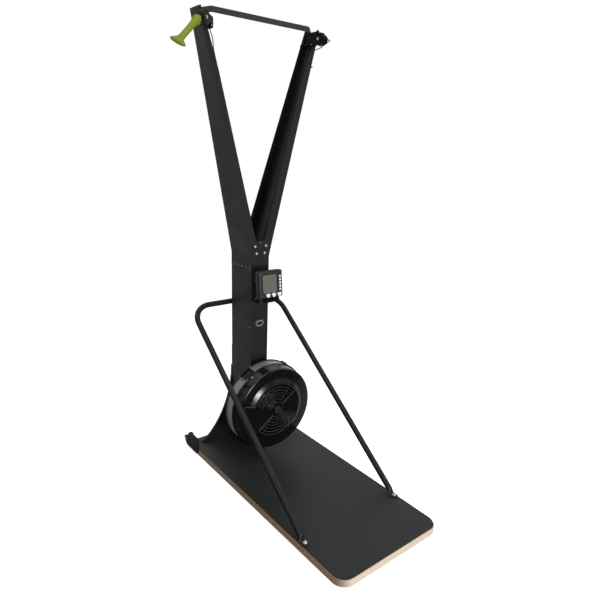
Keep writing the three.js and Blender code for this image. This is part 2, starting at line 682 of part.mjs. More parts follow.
// Fan housing: back plate on the column, perforated band, front cover and grille
const COVER_SHEET = 3;
const COVER_FLARE = 3;
const CONE_RISE = 10;
const CONE_OUTER_RADIUS = 171;
const CONE_LIP = 2.5;
const BAND_SHEET = 2;
const BAND_OUTSET = 6;
const BAND_GAP_FROM = 113;
const BAND_GAP_TO = 131;
const BACK_PLATE_RADIUS = 234;
const BACK_PLATE_SHEET = 7;
const FAN_MOUNT_HALF_WIDTH = 42;
const FAN_MOUNT_RISE = 90;
const BEARING_RADIUS = 22;
const BEARING_DEPTH = 16;
const FAN_SIDES = 48;

const coverRearY = fanFrontY + COVER_DEPTH;
const bandRearY = coverRearY + BAND_DEPTH;
const backPlateRearY = bandRearY + BACK_PLATE_SHEET;
const grilleFrontY = fanFrontY - CONE_RISE;

const bandOuter = FAN_RADIUS + BAND_OUTSET + BAND_SHEET;
const cover = turnedRing([
  [FAN_RADIUS, fanFrontY],
  [FAN_RADIUS + COVER_FLARE, coverRearY - BAND_SHEET],
  [bandOuter, coverRearY - BAND_SHEET],
  [bandOuter, coverRearY],
  [FAN_RADIUS + COVER_FLARE, coverRearY],
  [FAN_RADIUS + COVER_FLARE - COVER_SHEET, coverRearY],
  [FAN_RADIUS - COVER_SHEET, fanFrontY + COVER_SHEET],
  [CONE_OUTER_RADIUS, fanFrontY + COVER_SHEET],
  [GRILLE_RADIUS + CONE_LIP, grilleFrontY + COVER_SHEET + CONE_LIP],
  [GRILLE_RADIUS, grilleFrontY + COVER_SHEET],
  [GRILLE_RADIUS, grilleFrontY],
  [GRILLE_RADIUS + CONE_LIP, grilleFrontY],
  [CONE_OUTER_RADIUS, fanFrontY],
], 'y', FAN_SIDES);
piece('fan_cover', cover, 'glossPlastic').position.copy(fanCentre);

const bandRing = turnedRing([
  [bandOuter - BAND_SHEET, coverRearY + CLEAR],
  [bandOuter, coverRearY + CLEAR],
  [bandOuter, bandRearY - CLEAR],
  [bandOuter - BAND_SHEET, bandRearY - CLEAR],
], 'y', FAN_SIDES);
const wedgeReach = bandOuter * 2;
const wedge = outlineOf([
  [0, 0],
  [wedgeReach * Math.cos(degrees(BAND_GAP_FROM)), wedgeReach * Math.sin(degrees(BAND_GAP_FROM))],
  [wedgeReach * Math.cos(degrees(BAND_GAP_TO)), wedgeReach * Math.sin(degrees(BAND_GAP_TO))],
]);
const band = cut(bandRing, slab(wedge, 'y', coverRearY - OVERRUN, bandRearY + OVERRUN));
piece('fan_band', band, 'perforatedSteel').position.copy(fanCentre);

const backPlate = cut(
  join(
    rod('y', BACK_PLATE_RADIUS, bandRearY, backPlateRearY, FAN_SIDES),
    block(
      -FAN_MOUNT_HALF_WIDTH, FAN_MOUNT_HALF_WIDTH,
      backPlateRearY - COVER_SHEET, columnFrontY - CLEAR, -FAN_MOUNT_RISE, FAN_MOUNT_RISE,
    ),
  ),
  rod('y', BEARING_RADIUS + CLEAR, bandRearY - OVERRUN, columnFrontY + OVERRUN, 20),
);
piece('fan_back_plate', backPlate, 'blackPowder').position.copy(fanCentre);

const GRILLE_RINGS = 7;
const GRILLE_WIRE = 2.6;
const GRILLE_INNER_RADIUS = 40;
const GRILLE_SPOKE_WIDTH = 4;
const HUB_RADIUS = 19;
const HUB_BOSS_RADIUS = 11;
const HUB_BOSS_DEPTH = 12;
const SPOKE_SETBACK = 2;
const spokeAngles = [0, 55, 180, 235];

const grilleOuter = GRILLE_RADIUS - CLEAR;
const ringStep = (grilleOuter - GRILLE_WIRE - GRILLE_INNER_RADIUS) / (GRILLE_RINGS - 1);
function grilleRing(inner, sides) {
  return turnedRing([
    [inner, grilleFrontY + CLEAR],
    [inner + GRILLE_WIRE, grilleFrontY + CLEAR],
    [inner + GRILLE_WIRE, grilleFrontY + CLEAR + GRILLE_WIRE],
    [inner, grilleFrontY + CLEAR + GRILLE_WIRE],
  ], 'y', sides);
}
const grilleRings = Array.from({ length: GRILLE_RINGS }, (_, k) => (
  grilleRing(GRILLE_INNER_RADIUS + k * ringStep, k + 1 === GRILLE_RINGS ? FAN_SIDES : FAN_SIDES / 2)));
const spokes = spokeAngles.map((angle) => (
  block(
    0, grilleOuter - GRILLE_WIRE / 2,
    grilleFrontY + SPOKE_SETBACK, grilleFrontY + SPOKE_SETBACK + GRILLE_WIRE,
    -GRILLE_SPOKE_WIDTH / 2, GRILLE_SPOKE_WIDTH / 2,
  ).rotateY(-degrees(angle))));
const hub = turned([
  [0, grilleFrontY - HUB_BOSS_DEPTH],
  [HUB_BOSS_RADIUS, grilleFrontY - HUB_BOSS_DEPTH],
  [HUB_BOSS_RADIUS, grilleFrontY],
  [HUB_RADIUS, grilleFrontY],
  [HUB_RADIUS, grilleFrontY + SPOKE_SETBACK + GRILLE_WIRE],
  [0, grilleFrontY + SPOKE_SETBACK + GRILLE_WIRE],
], 'y', 24);
piece('fan_grille', join(hub, ...spokes, ...grilleRings), 'glossPlastic').position.copy(fanCentre);

// Damper lever: a sector plate that turns on the hub boss and covers part of the grille
const DAMPER_SHEET = 3;
const DAMPER_GAP = 3;
const DAMPER_OUTER_RADIUS = 214;
const DAMPER_INNER_RADIUS = 56;
const DAMPER_WING_RADIUS = 141;
const DAMPER_FROM = 161;
const DAMPER_TO = 219;
const DAMPER_WING_ANGLE = 180;
const DAMPER_ARM_WIDTH = 22;
const DAMPER_TAB_DEPTH = 11;
const DAMPER_TAB_LENGTH = 58;
const DAMPER_TAB_THICKNESS = 7;
const damperRearY = grilleFrontY - DAMPER_GAP;
const damperFrontY = damperRearY - DAMPER_SHEET;
function damperWing(outer, turnBack) {
  const [from, to] = [degrees(DAMPER_FROM - turnBack), degrees(DAMPER_TO - turnBack)];
  const sector = new THREE.Shape();
  sector.absarc(0, 0, outer, from, to, false);
  sector.absarc(0, 0, DAMPER_INNER_RADIUS, to, from, true);
  sector.closePath();
  return slab(sector, 'y', damperFrontY, damperRearY, 7);
}
const damperMiddle = (DAMPER_FROM + DAMPER_TO) / 2;
const damperReach = DAMPER_INNER_RADIUS + DAMPER_ARM_WIDTH;
const damperArm = block(
  -damperReach, damperReach, damperFrontY, damperRearY,
  -DAMPER_ARM_WIDTH / 2, DAMPER_ARM_WIDTH / 2,
).rotateY(-degrees(damperMiddle));
const damperTab = block(
  DAMPER_OUTER_RADIUS - DAMPER_TAB_LENGTH, DAMPER_OUTER_RADIUS,
  damperFrontY - DAMPER_TAB_DEPTH, damperRearY, -DAMPER_TAB_THICKNESS, 0,
).rotateY(-degrees(DAMPER_FROM));
const damperEye = rod('y', HUB_RADIUS, damperFrontY, damperRearY, 20);
const damperBore = rod('y', HUB_BOSS_RADIUS + CLEAR, damperFrontY - OVERRUN, damperRearY + OVERRUN, 20);
const damperWings = [damperWing(DAMPER_OUTER_RADIUS, 0), damperWing(DAMPER_WING_RADIUS, DAMPER_WING_ANGLE)];
const damper = cut(join(...damperWings, damperArm, damperTab, damperEye), damperBore);
piece('damper_lever', damper, 'blackPlastic').position.copy(fanCentre);

// Flywheel, its shaft, bearings and the two cord drums inside the column
const ROTOR_FRONT_GAP = 22;
const ROTOR_REAR_GAP = 20;
const ROTOR_RADIUS = 206;
const ROTOR_DISC = 7;
const ROTOR_HUB_RADIUS = 34;
const ROTOR_BLADES = 20;
const BLADE_ROOT_RADIUS = 68;
const BLADE_THICKNESS = 3;
const SHAFT_FRONT_GAP = 8;
const SHAFT_REAR_GAP = 4;
const DRUM_FLANGE_RADIUS = 32;
const DRUM_WIDTH = 22;
const DRUM_FLANGE = 3;
const DRUM_CORD_GAP = 0.9;
const DRUM_BEHIND_WALL = 50;
const REAR_BEARING_DEPTH = 10;

const rotorFrontY = fanFrontY + ROTOR_FRONT_GAP;
const rotorRearY = bandRearY - ROTOR_REAR_GAP;
const shaftBore = SHAFT_RADIUS + CLEAR;
const rotorBody = turnedRing([
  [shaftBore, rotorFrontY],
  [ROTOR_HUB_RADIUS, rotorFrontY],
  [ROTOR_HUB_RADIUS, rotorRearY - ROTOR_DISC],
  [ROTOR_RADIUS, rotorRearY - ROTOR_DISC],
  [ROTOR_RADIUS, rotorRearY],
  [shaftBore, rotorRearY],
], 'y', 32);
const blades = Array.from({ length: ROTOR_BLADES }, (_, k) => (
  block(
    BLADE_ROOT_RADIUS, ROTOR_RADIUS, rotorFrontY, rotorRearY - ROTOR_DISC / 2,
    -BLADE_THICKNESS / 2, BLADE_THICKNESS / 2,
  ).rotateY((2 * Math.PI * k) / ROTOR_BLADES)));
piece('flywheel', join(rotorBody, ...blades), 'castIron').position.copy(fanCentre);

const shaftFrontY = grilleFrontY + SHAFT_FRONT_GAP;
const columnInnerRearY = columnRearY - COLUMN_WALL;
const shaft = rod('y', SHAFT_RADIUS, shaftFrontY, columnInnerRearY - SHAFT_REAR_GAP, 20);
piece('flywheel_shaft', shaft, 'brightSteel').position.copy(fanCentre);

function bearing(outer, from, depth) {
  const to = from + depth;
  return turnedRing([[shaftBore, from], [outer, from], [outer, to], [shaftBore, to]], 'y', 20);
}
piece('bearing_front', bearing(BEARING_RADIUS, backPlateRearY, BEARING_DEPTH), 'brightSteel')
  .position.copy(fanCentre);
const rearBearingY = columnInnerRearY - CLEAR - REAR_BEARING_DEPTH;
const rearBearing = bearing(BEARING_RADIUS, rearBearingY, REAR_BEARING_DEPTH);
piece('bearing_rear', rearBearing, 'brightSteel').position.copy(fanCentre);

const drumCore = DRUM_RADIUS - CORD_RADIUS - DRUM_CORD_GAP;
const drum = turnedRing([
  [shaftBore, 0],
  [DRUM_FLANGE_RADIUS, 0],
  [DRUM_FLANGE_RADIUS, DRUM_FLANGE],
  [drumCore, DRUM_FLANGE],
  [drumCore, DRUM_WIDTH - DRUM_FLANGE],
  [DRUM_FLANGE_RADIUS, DRUM_WIDTH - DRUM_FLANGE],
  [DRUM_FLANGE_RADIUS, DRUM_WIDTH],
  [shaftBore, DRUM_WIDTH],
], 'y', 24);
const drumStartY = { left: columnFrontY + DRUM_BEHIND_WALL };
drumStartY.right = drumStartY.left + DRUM_WIDTH + CLEAR;
for (const side of ['left', 'right']) {
  const mesh = piece(`cord_drum_${side}`, drum.clone(), 'castIron');
  mesh.position.set(0, drumStartY[side], FAN_HEIGHT);
}

// Swivel brackets inside the arm tops
const STEM_RADIUS = 8;
const STEM_BORE = 4;
const BOSS_RADIUS = 15;
const BOSS_HEIGHT = 10;
const BOSS_BELOW_WHEEL = 8;
const SHELF_THICKNESS = 6;
const SHELF_DEPTH = 53;
const UPRIGHT_SETBACK = 22;
const UPRIGHT_THICKNESS = 8;
const UPRIGHT_RISE = 24;
const bossTopZ = wheelZ - BOSS_BELOW_WHEEL;
const bossBottomZ = bossTopZ - BOSS_HEIGHT;
const swivelX = armAt(bossBottomZ).outer - SWIVEL_INSET;
const swivelY = columnFrontY + SWIVEL_BEHIND_FRONT;
const shelfOuterX = armAt(bossBottomZ).outer - ARM_SHEET - CLEAR;
const shelfInnerX = swivelX - BOSS_RADIUS;
const shelfFrontY = columnFrontY + ARM_SHEET + CLEAR;
const shelf = block(
  shelfInnerX, shelfOuterX,
  shelfFrontY, shelfFrontY + SHELF_DEPTH, bossBottomZ, bossBottomZ + SHELF_THICKNESS,
);
const uprightY = swivelY + UPRIGHT_SETBACK;
const upright = block(
  shelfInnerX, shelfOuterX, uprightY, uprightY + UPRIGHT_THICKNESS, bossBottomZ, bossTopZ + UPRIGHT_RISE,
);
const boss = rod('z', BOSS_RADIUS, bossBottomZ, bossTopZ, 20).translate(swivelX, swivelY, 0);
const bossBore = rod('z', STEM_RADIUS + CLEAR, bossBottomZ - OVERRUN, bossTopZ + OVERRUN, 20)
  .translate(swivelX, swivelY, 0);
const swivelBracket = cut(join(shelf, upright, boss), bossBore);
piece('swivel_bracket_right', swivelBracket, 'blackPowder');
piece('swivel_bracket_left', mirrored(swivelBracket), 'blackPowder');

// Pulley yokes: two cheeks on a hollow stem that turns in the bracket, with the cord running up it
const CHEEK_GAP = 20;
const CHEEK_SHEET = 3;
const CHEEK_CORNER = 9;
const STEM_BELOW_BOSS = 4;
const STEM_COLLAR_RADIUS = 11;
const STEM_COLLAR_GAP = 0.5;
const YOKE_FLOOR = 3;
const YOKE_REAR = 11;
const YOKE_FLOOR_REACH = 24;
const CHEEK_LOW_AHEAD = 36;
const CHEEK_MIDDLE_AHEAD = 63;
const CHEEK_MIDDLE_DROP = 28;
const CHEEK_THROAT_AHEAD = 98;
const CHEEK_THROAT_DROP = 22;
const CHEEK_CREST_AHEAD = 74;
const CHEEK_CREST_BACK = 53;
const CHEEK_CREST_RISE = 29;
const CHEEK_SHOULDER_AHEAD = 39;
const CHEEK_SHOULDER_RISE = 20;
const NOSE_AHEAD = 115;
const NOSE_DROP = 6;
const NOSE_HALF = 9;
const KEEPER_RADIUS = 3;
const KEEPER_DROP = 13;
const KEEPER_SETBACK = 6;
const AXLE_RADIUS = 4;
const AXLE_HEAD_RADIUS = 7;
const AXLE_HEAD = 3.5;
const PULLEY_WIDTH = 16;
const PULLEY_FLANGE = 3;

const yokeFloorZ = bossTopZ + CLEAR;
const stemBottomZ = bossBottomZ - STEM_BELOW_BOSS;
const cheekOutline = roundedOutline([
  [YOKE_REAR, yokeFloorZ],
  [-CHEEK_LOW_AHEAD, yokeFloorZ],
  [-CHEEK_MIDDLE_AHEAD, wheelZ - CHEEK_MIDDLE_DROP],
  [-CHEEK_THROAT_AHEAD, wheelZ - CHEEK_THROAT_DROP],
  [-NOSE_AHEAD, wheelZ - NOSE_DROP - NOSE_HALF],
  [-NOSE_AHEAD, wheelZ - NOSE_DROP + NOSE_HALF],
  [-CHEEK_CREST_AHEAD, wheelZ + CHEEK_CREST_RISE],
  [-CHEEK_CREST_BACK, wheelZ + CHEEK_CREST_RISE],
  [-CHEEK_SHOULDER_AHEAD, wheelZ + CHEEK_SHOULDER_RISE],
  [YOKE_REAR, wheelZ + CHEEK_SHOULDER_RISE],
], CHEEK_CORNER);
const cheekInner = CHEEK_GAP / 2;
const cheekOuter = cheekInner + CHEEK_SHEET;
const cheek = slab(cheekOutline, 'x', cheekInner, cheekOuter, 3);
const yokeFloor = block(
  -cheekOuter, cheekOuter, -YOKE_FLOOR_REACH, YOKE_REAR, yokeFloorZ, yokeFloorZ + YOKE_FLOOR,
);
const stem = rod('z', STEM_RADIUS, stemBottomZ, yokeFloorZ + YOKE_FLOOR / 2);
const stemCollar = rod('z', STEM_COLLAR_RADIUS, stemBottomZ, bossBottomZ - STEM_COLLAR_GAP);
const stemBore = rod('z', STEM_BORE, stemBottomZ - OVERRUN, yokeFloorZ + OVERRUN, 12);
const keeper = rod('x', KEEPER_RADIUS, -cheekInner - CHEEK_SHEET / 2, cheekInner + CHEEK_SHEET / 2, 10)
  .translate(0, KEEPER_SETBACK - NOSE_AHEAD, wheelZ - KEEPER_DROP);
const axleHole = rod('x', AXLE_RADIUS + CLEAR, -cheekOuter - OVERRUN, cheekOuter + OVERRUN)
  .translate(0, -WHEEL_AHEAD, wheelZ);
const yoke = cut(join(cheek, mirrored(cheek), yokeFloor, stem, stemCollar, keeper), stemBore, axleHole);

const pulley = turnedRing([
  [AXLE_RADIUS + CLEAR, -PULLEY_WIDTH / 2],
  [WHEEL_RIM_RADIUS, -PULLEY_WIDTH / 2],
  [WHEEL_RIM_RADIUS, PULLEY_FLANGE - PULLEY_WIDTH / 2],
  [WHEEL_GROOVE_RADIUS - CORD_RADIUS - CLEAR, -CORD_RADIUS],
  [WHEEL_GROOVE_RADIUS - CORD_RADIUS - CLEAR, CORD_RADIUS],
  [WHEEL_RIM_RADIUS, PULLEY_WIDTH / 2 - PULLEY_FLANGE],
  [WHEEL_RIM_RADIUS, PULLEY_WIDTH / 2],
  [AXLE_RADIUS + CLEAR, PULLEY_WIDTH / 2],
], 'x', 28);
const axleHeadX = cheekOuter + CLEAR;
const pulleyAxle = turned([
  [0, -axleHeadX - AXLE_HEAD],
  [AXLE_HEAD_RADIUS, -axleHeadX - AXLE_HEAD],
  [AXLE_HEAD_RADIUS, -axleHeadX],
  [AXLE_RADIUS, -axleHeadX],
  [AXLE_RADIUS, axleHeadX],
  [AXLE_HEAD_RADIUS, axleHeadX],
  [AXLE_HEAD_RADIUS, axleHeadX + AXLE_HEAD],
  [0, axleHeadX + AXLE_HEAD],
], 'x', 14);

const yokeGroups = {};
for (const [side, sign, turn] of [['left', -1, -LEFT_YOKE_TURN], ['right', 1, 0]]) {
  const group = new THREE.Group();
  group.position.set(sign * swivelX, swivelY, 0);
  group.rotation.z = degrees(turn);
  machine.add(group);
  group.updateWorldMatrix(true, false);
  yokeGroups[side] = group;
  piece(`pulley_yoke_${side}`, yoke.clone(), 'blackPowder', group);
  const wheel = piece(`pulley_wheel_${side}`, pulley.clone(), 'blackPlastic', group);
  wheel.position.set(0, -WHEEL_AHEAD, wheelZ);
  const axle = piece(`pulley_axle_${side}`, pulleyAxle.clone(), 'brightSteel', group);
  axle.position.set(0, -WHEEL_AHEAD, wheelZ);
}

// Handles: a bulb at the cord end, a round grip and a wide foot
const BULB_RADIUS = 17.5;
const GRIP_RADIUS = 12.4;
const HANDLE_LENGTH = 170;
const HANDLE_FOOT_HALF = 32;
const HANDLE_FOOT_THICKNESS = 8.5;
const HANDLE_WAIST_RADIUS = 11.6;
const bulbShares = [[0, 0.15], [0.03, 0.55], [0.07, 0.84], [0.125, 1], [0.19, 0.96], [0.25, 0.8]];
const footShares = [[0.72, 0], [0.82, 0.05], [0.88, 0.26], [0.92, 0.7], [0.955, 1], [0.985, 0.98], [1, 0.86]];
const gripShares = [[0.35, 1], [0.5, 0.97], [0.62, 0.94]];
function handleStation(alongShare, wide, high) {
  const at = new THREE.Vector3(0, 0, BULB_RADIUS - HANDLE_LENGTH * alongShare);
  return { at, wide, high, up: alongX };
}
const handleStations = [
  ...bulbShares.map(([along, size]) => handleStation(along, BULB_RADIUS * size, BULB_RADIUS * size)),
  ...gripShares.map(([along, size]) => handleStation(along, GRIP_RADIUS * size, GRIP_RADIUS * size)),
  ...footShares.map(([along, spread]) => handleStation(
    along,
    THREE.MathUtils.lerp(HANDLE_WAIST_RADIUS, HANDLE_FOOT_HALF, spread),
    THREE.MathUtils.lerp(HANDLE_WAIST_RADIUS, HANDLE_FOOT_THICKNESS, spread),
  )),
];
const handleShape = sweep(handleStations, roundSection(16));

// Left handle: drawn up short of its pulley, pointing out and down
const LEFT_BULB_OUT = 111;
const LEFT_BULB_AHEAD = 104;
const LEFT_BULB_DROP = 22;
const LEFT_HANDLE_HEADING = 68;
const LEFT_HANDLE_SLOPE = 39.6;
const LEFT_HANDLE_ROLL = 126;
const leftBulb = new THREE.Vector3(
  -swivelX - LEFT_BULB_OUT, swivelY - LEFT_BULB_AHEAD, wheelZ - LEFT_BULB_DROP,
);
const leftHandle = piece('handle_left', handleShape.clone().rotateZ(degrees(LEFT_HANDLE_ROLL)), 'limeGrip');
leftHandle.position.copy(leftBulb);
leftHandle.rotation.set(-degrees(90 - LEFT_HANDLE_SLOPE), 0, -degrees(LEFT_HANDLE_HEADING), 'ZXY');

// Right handle: parked in a forked hook on the outer face of its arm
const HOOK_BELOW_TOP = 140;
const HOOK_BEHIND_FRONT = 60;
const HOOK_HALF_WIDTH = 22;
const HOOK_SHEET = 4;
const HOOK_REACH = 37.5;
const HOOK_DROP = 32;
const HANDLE_STANDOFF = 19.5;
const SLOT_HALF_WIDTH = 13.6;
const BULB_SEAT = 32.8;
const hookZ = ARM_TOP_HEIGHT - HOOK_BELOW_TOP;
const hookGroup = new THREE.Group();
hookGroup.position.set(armAt(hookZ).outer, columnFrontY + HOOK_BEHIND_FRONT, hookZ);
hookGroup.rotation.y = armLean;
machine.add(hookGroup);
hookGroup.updateWorldMatrix(true, false);
const hookSlot = join(
  rod('z', SLOT_HALF_WIDTH, -OVERRUN, HOOK_SHEET + OVERRUN, 16).translate(HANDLE_STANDOFF, 0, 0),
  block(
    HANDLE_STANDOFF - SLOT_HALF_WIDTH, HANDLE_STANDOFF + SLOT_HALF_WIDTH,
    -HOOK_HALF_WIDTH - OVERRUN, 0, -OVERRUN, HOOK_SHEET + OVERRUN,
  ),
);
const hook = cut(join(
  block(CLEAR, HOOK_REACH, -HOOK_HALF_WIDTH, HOOK_HALF_WIDTH, 0, HOOK_SHEET),
  block(CLEAR, CLEAR + HOOK_SHEET, -HOOK_HALF_WIDTH, HOOK_HALF_WIDTH, -HOOK_DROP, HOOK_SHEET),
), hookSlot);
piece('handle_hook_right', hook, 'blackPowder', hookGroup);
const rightHandle = piece('handle_right', handleShape.clone(), 'limeGrip', hookGroup);
rightHandle.position.set(HANDLE_STANDOFF, 0, HOOK_SHEET + BULB_SEAT);

// Cords: up the stem and over the pulley to the handle, and down the arm to the drum
const CORD_SIDES = 8;
const stemTopZ = yokeFloorZ + YOKE_FLOOR;
const cordBreakZ = stemTopZ + CORD_RADIUS;
const WHEEL_WRAP_STEPS = 6;
const WHEEL_WRAP_END = 169;
const CORD_STRAIGHT_END = 5;
function overPulley() {
  const centre = new THREE.Vector3(0, -WHEEL_AHEAD, wheelZ);
  const reach = Math.hypot(WHEEL_AHEAD, wheelZ - cordBreakZ);
  const climb = Math.atan2(wheelZ - cordBreakZ, WHEEL_AHEAD) + Math.asin(WHEEL_GROOVE_RADIUS / reach);
  const from = Math.PI / 2 - climb;
  return Array.from({ length: WHEEL_WRAP_STEPS + 1 }, (_, k) => {
    const angle = THREE.MathUtils.lerp(from, degrees(WHEEL_WRAP_END), k / WHEEL_WRAP_STEPS);
    const offset = new THREE.Vector3(0, Math.cos(angle), Math.sin(angle)).multiplyScalar(WHEEL_GROOVE_RADIUS);
    return centre.clone().add(offset);
  });
}
const yokeCordStart = [
  new THREE.Vector3(0, 0, cordBreakZ + CLEAR),
  new THREE.Vector3(0, 0, cordBreakZ + CORD_RADIUS),
  new THREE.Vector3(0, -CORD_RADIUS, cordBreakZ + CORD_RADIUS * 2),
];
function pullCord(side, outerRoute) {
  const group = yokeGroups[side];
  const local = [...yokeCordStart, ...overPulley()].map((point) => group.localToWorld(point.clone()));
  const up = alongX.clone().applyEuler(group.rotation);
  return tubeAlong([...local, ...outerRoute], CORD_RADIUS, CORD_SIDES, up);
}
const cordEnd = new THREE.Vector3(0, 0, BULB_RADIUS + CLEAR * 2);
const cordStraightEnd = new THREE.Vector3(0, 0, CORD_STRAIGHT_END);
leftHandle.updateWorldMatrix(true, false);
const leftCordRoute = [
  leftHandle.localToWorld(cordEnd.clone().add(cordStraightEnd)),
  leftHandle.localToWorld(cordEnd.clone()),
];
piece('pull_cord_left', pullCord('left', leftCordRoute), 'blackCord');
rightHandle.updateWorldMatrix(true, false);
const rightCordFromWheel = [
  [0, -33, -4], [1, -40, -6], [5, -46, -8], [12, -48, -9], [19, -43, -10],
  [24, -29, -11], [36, 11, -17], [47, 56, -24], [54, 96, -27],
].map(([x, y, z]) => new THREE.Vector3(swivelX + x, swivelY - WHEEL_AHEAD + y, wheelZ + z));
const rightCordRoute = [
  ...rightCordFromWheel,
  rightHandle.localToWorld(cordEnd.clone().add(new THREE.Vector3(0, -BULB_RADIUS / 2, BULB_RADIUS))),
  rightHandle.localToWorld(cordEnd.clone().add(cordStraightEnd)),
  rightHandle.localToWorld(cordEnd.clone()),
];
piece('pull_cord_right', pullCord('right', rightCordRoute), 'blackCord');

const cordOnDrumX = -DRUM_RADIUS;
const CORD_FORK_REACH = 58;
const CORD_FORK_SETBACK = 48;
const CORD_FORK_RISE = 99;
const CORD_SEAM_REACH = 30;
const CORD_SEAM_RISE = 32;
const CORD_LEAD = 562;
const cordBesideArm = [[-14, 2, -29], [-20, 4, -75], [-40, 6, -142], [-52, 10, -222]];
const DRUM_WRAP_STEPS = 12;
const DRUM_WRAP = 270;
function roundDrum(drumY) {
  return Array.from({ length: DRUM_WRAP_STEPS + 1 }, (_, k) => {
    const angle = degrees((DRUM_WRAP * k) / DRUM_WRAP_STEPS);
    const [x, z] = [-Math.cos(angle) * DRUM_RADIUS, -Math.sin(angle) * DRUM_RADIUS];
    return new THREE.Vector3(x, drumY, FAN_HEIGHT + z);
  });
}
function driveCord(sign, drumY) {
  const route = [
    new THREE.Vector3(sign * swivelX, swivelY, cordBreakZ),
    new THREE.Vector3(sign * swivelX, swivelY, stemBottomZ - CORD_RADIUS),
    ...cordBesideArm.map(
      ([x, y, z]) => new THREE.Vector3(sign * (swivelX + x), swivelY + y, stemBottomZ + z),
    ),
    new THREE.Vector3(sign * CORD_FORK_REACH, columnFrontY + CORD_FORK_SETBACK, splayZ + CORD_FORK_RISE),
    new THREE.Vector3(sign * CORD_SEAM_REACH, drumY, SEAM_HEIGHT + CORD_SEAM_RISE),
    new THREE.Vector3(cordOnDrumX, drumY, FAN_HEIGHT + CORD_LEAD),
    ...roundDrum(drumY),
  ];
  return tubeAlong(route, CORD_RADIUS, CORD_SIDES, alongY);
}
const drumMiddle = DRUM_WIDTH / 2;
piece('drive_cord_left', driveCord(-1, drumStartY.left + drumMiddle), 'blackCord');
piece('drive_cord_right', driveCord(1, drumStartY.right + drumMiddle), 'blackCord');

// Monitor bracket: an open sheet box on the column front
const MONITOR_BRACKET_WIDTH = 100;
const MONITOR_BRACKET_RISE = 135;
const MONITOR_BRACKET_DROP = 17;
const MONITOR_BRACKET_SHEET = 3;
const MONITOR_TILT_BACK = 8;
const MONITOR_BACK_GAP = 3;
const MONITOR_REAR_DEPTH = 8;
const monitorHingeY = columnFrontY - MONITOR_HINGE_REACH;
const bracketTopZ = monitorHingeZ + MONITOR_BRACKET_RISE;
const bracketBottomZ = monitorHingeZ - MONITOR_BRACKET_DROP;
const bracketHalf = MONITOR_BRACKET_WIDTH / 2;
const bracketBackY = columnFrontY - CLEAR;
const cheekFrontLow = monitorHingeY + MONITOR_REAR_DEPTH + MONITOR_BACK_GAP;
const cheekFrontHigh = cheekFrontLow
  + MONITOR_BRACKET_RISE * Math.tan(degrees(MONITOR_TILT_BACK));
const monitorCheek = outlineOf([
  [cheekFrontLow, bracketBottomZ],
  [bracketBackY, bracketBottomZ],
  [bracketBackY, bracketTopZ],
  [cheekFrontHigh, bracketTopZ],
  [cheekFrontLow, monitorHingeZ],
]);
const monitorSide = slab(monitorCheek, 'x', bracketHalf - MONITOR_BRACKET_SHEET, bracketHalf);
const bracketFloorZ = bracketBottomZ + MONITOR_BRACKET_SHEET;
const monitorBracket = join(
  monitorSide,
  mirrored(monitorSide),
  block(
    -bracketHalf, bracketHalf, bracketBackY - MONITOR_BRACKET_SHEET, bracketBackY,
    bracketBottomZ, bracketTopZ,
  ),
  block(-bracketHalf, bracketHalf, cheekFrontLow, bracketBackY, bracketBottomZ, bracketFloorZ),
);
piece('monitor_bracket', monitorBracket, 'blackPlastic');

// Monitor cradle: the hinge barrel and its foot, fixed in the bracket
const BARREL_RADIUS = 12;
const BARREL_LENGTH = 92;
const HINGE_PIN_RADIUS = 5;
const HINGE_PIN_LENGTH = 118;
const CRADLE_FOOT_WIDTH = 44;
const CRADLE_FOOT_DEPTH = 58;
const CRADLE_FOOT_HEIGHT = 10;
const cradleFootZ = bracketFloorZ + CLEAR;
const cradle = join(
  rod('x', BARREL_RADIUS, -BARREL_LENGTH / 2, BARREL_LENGTH / 2, 20)
    .translate(0, monitorHingeY, monitorHingeZ),
  rod('x', HINGE_PIN_RADIUS, -HINGE_PIN_LENGTH / 2, HINGE_PIN_LENGTH / 2, 12)
    .translate(0, monitorHingeY, monitorHingeZ),
  block(
    -CRADLE_FOOT_WIDTH / 2, CRADLE_FOOT_WIDTH / 2,
    monitorHingeY, monitorHingeY + CRADLE_FOOT_DEPTH, cradleFootZ, cradleFootZ + CRADLE_FOOT_HEIGHT,
  ),
);
piece('monitor_cradle', cradle, 'blackPlastic');

// Monitor housing with its screen and keys, tilted back on the hinge pin
const HOUSING_LIFT = 16;
const HOUSING_CORNER = 7;
const HOUSING_BEVEL = 3;
const LUG_WIDTH = 10;
const LUG_DROP = 10;
const LUG_FRONT = 10;
const LUG_REAR = 7;
const LUG_TOP = 22;
const SCREEN_WIDTH = 80;
const SCREEN_HEIGHT = 86;
const SCREEN_CENTRE = [-7, 85];
const SCREEN_RECESS = 3;
const SCREEN_THICKNESS = 2;
const KEY_TRAVEL = 1.2;
const KEY_PROUD = 1.6;
const KEY_POCKET_DEPTH = 5;
const ROUND_KEY_RADIUS = 6;
const ROUND_KEY_X = 55;
const ROUND_KEY_PITCH = 16;
const ROUND_KEY_TOP = 117;
const ROUND_KEYS = 5;
const WIDE_KEY_HALF = 12;
const WIDE_KEY_DROP = 11;
const WIDE_KEY_RISE = 8;
const WIDE_KEY_PITCH = 34;
const WIDE_KEY_FIRST_X = -19;
const WIDE_KEY_HEIGHT = 29;
const WIDE_KEYS = 3;
const WIDE_KEY_CORNER = 4;

const monitorGroup = new THREE.Group();
monitorGroup.position.set(0, monitorHingeY, monitorHingeZ);
monitorGroup.rotation.x = -degrees(MONITOR_TILT);
machine.add(monitorGroup);

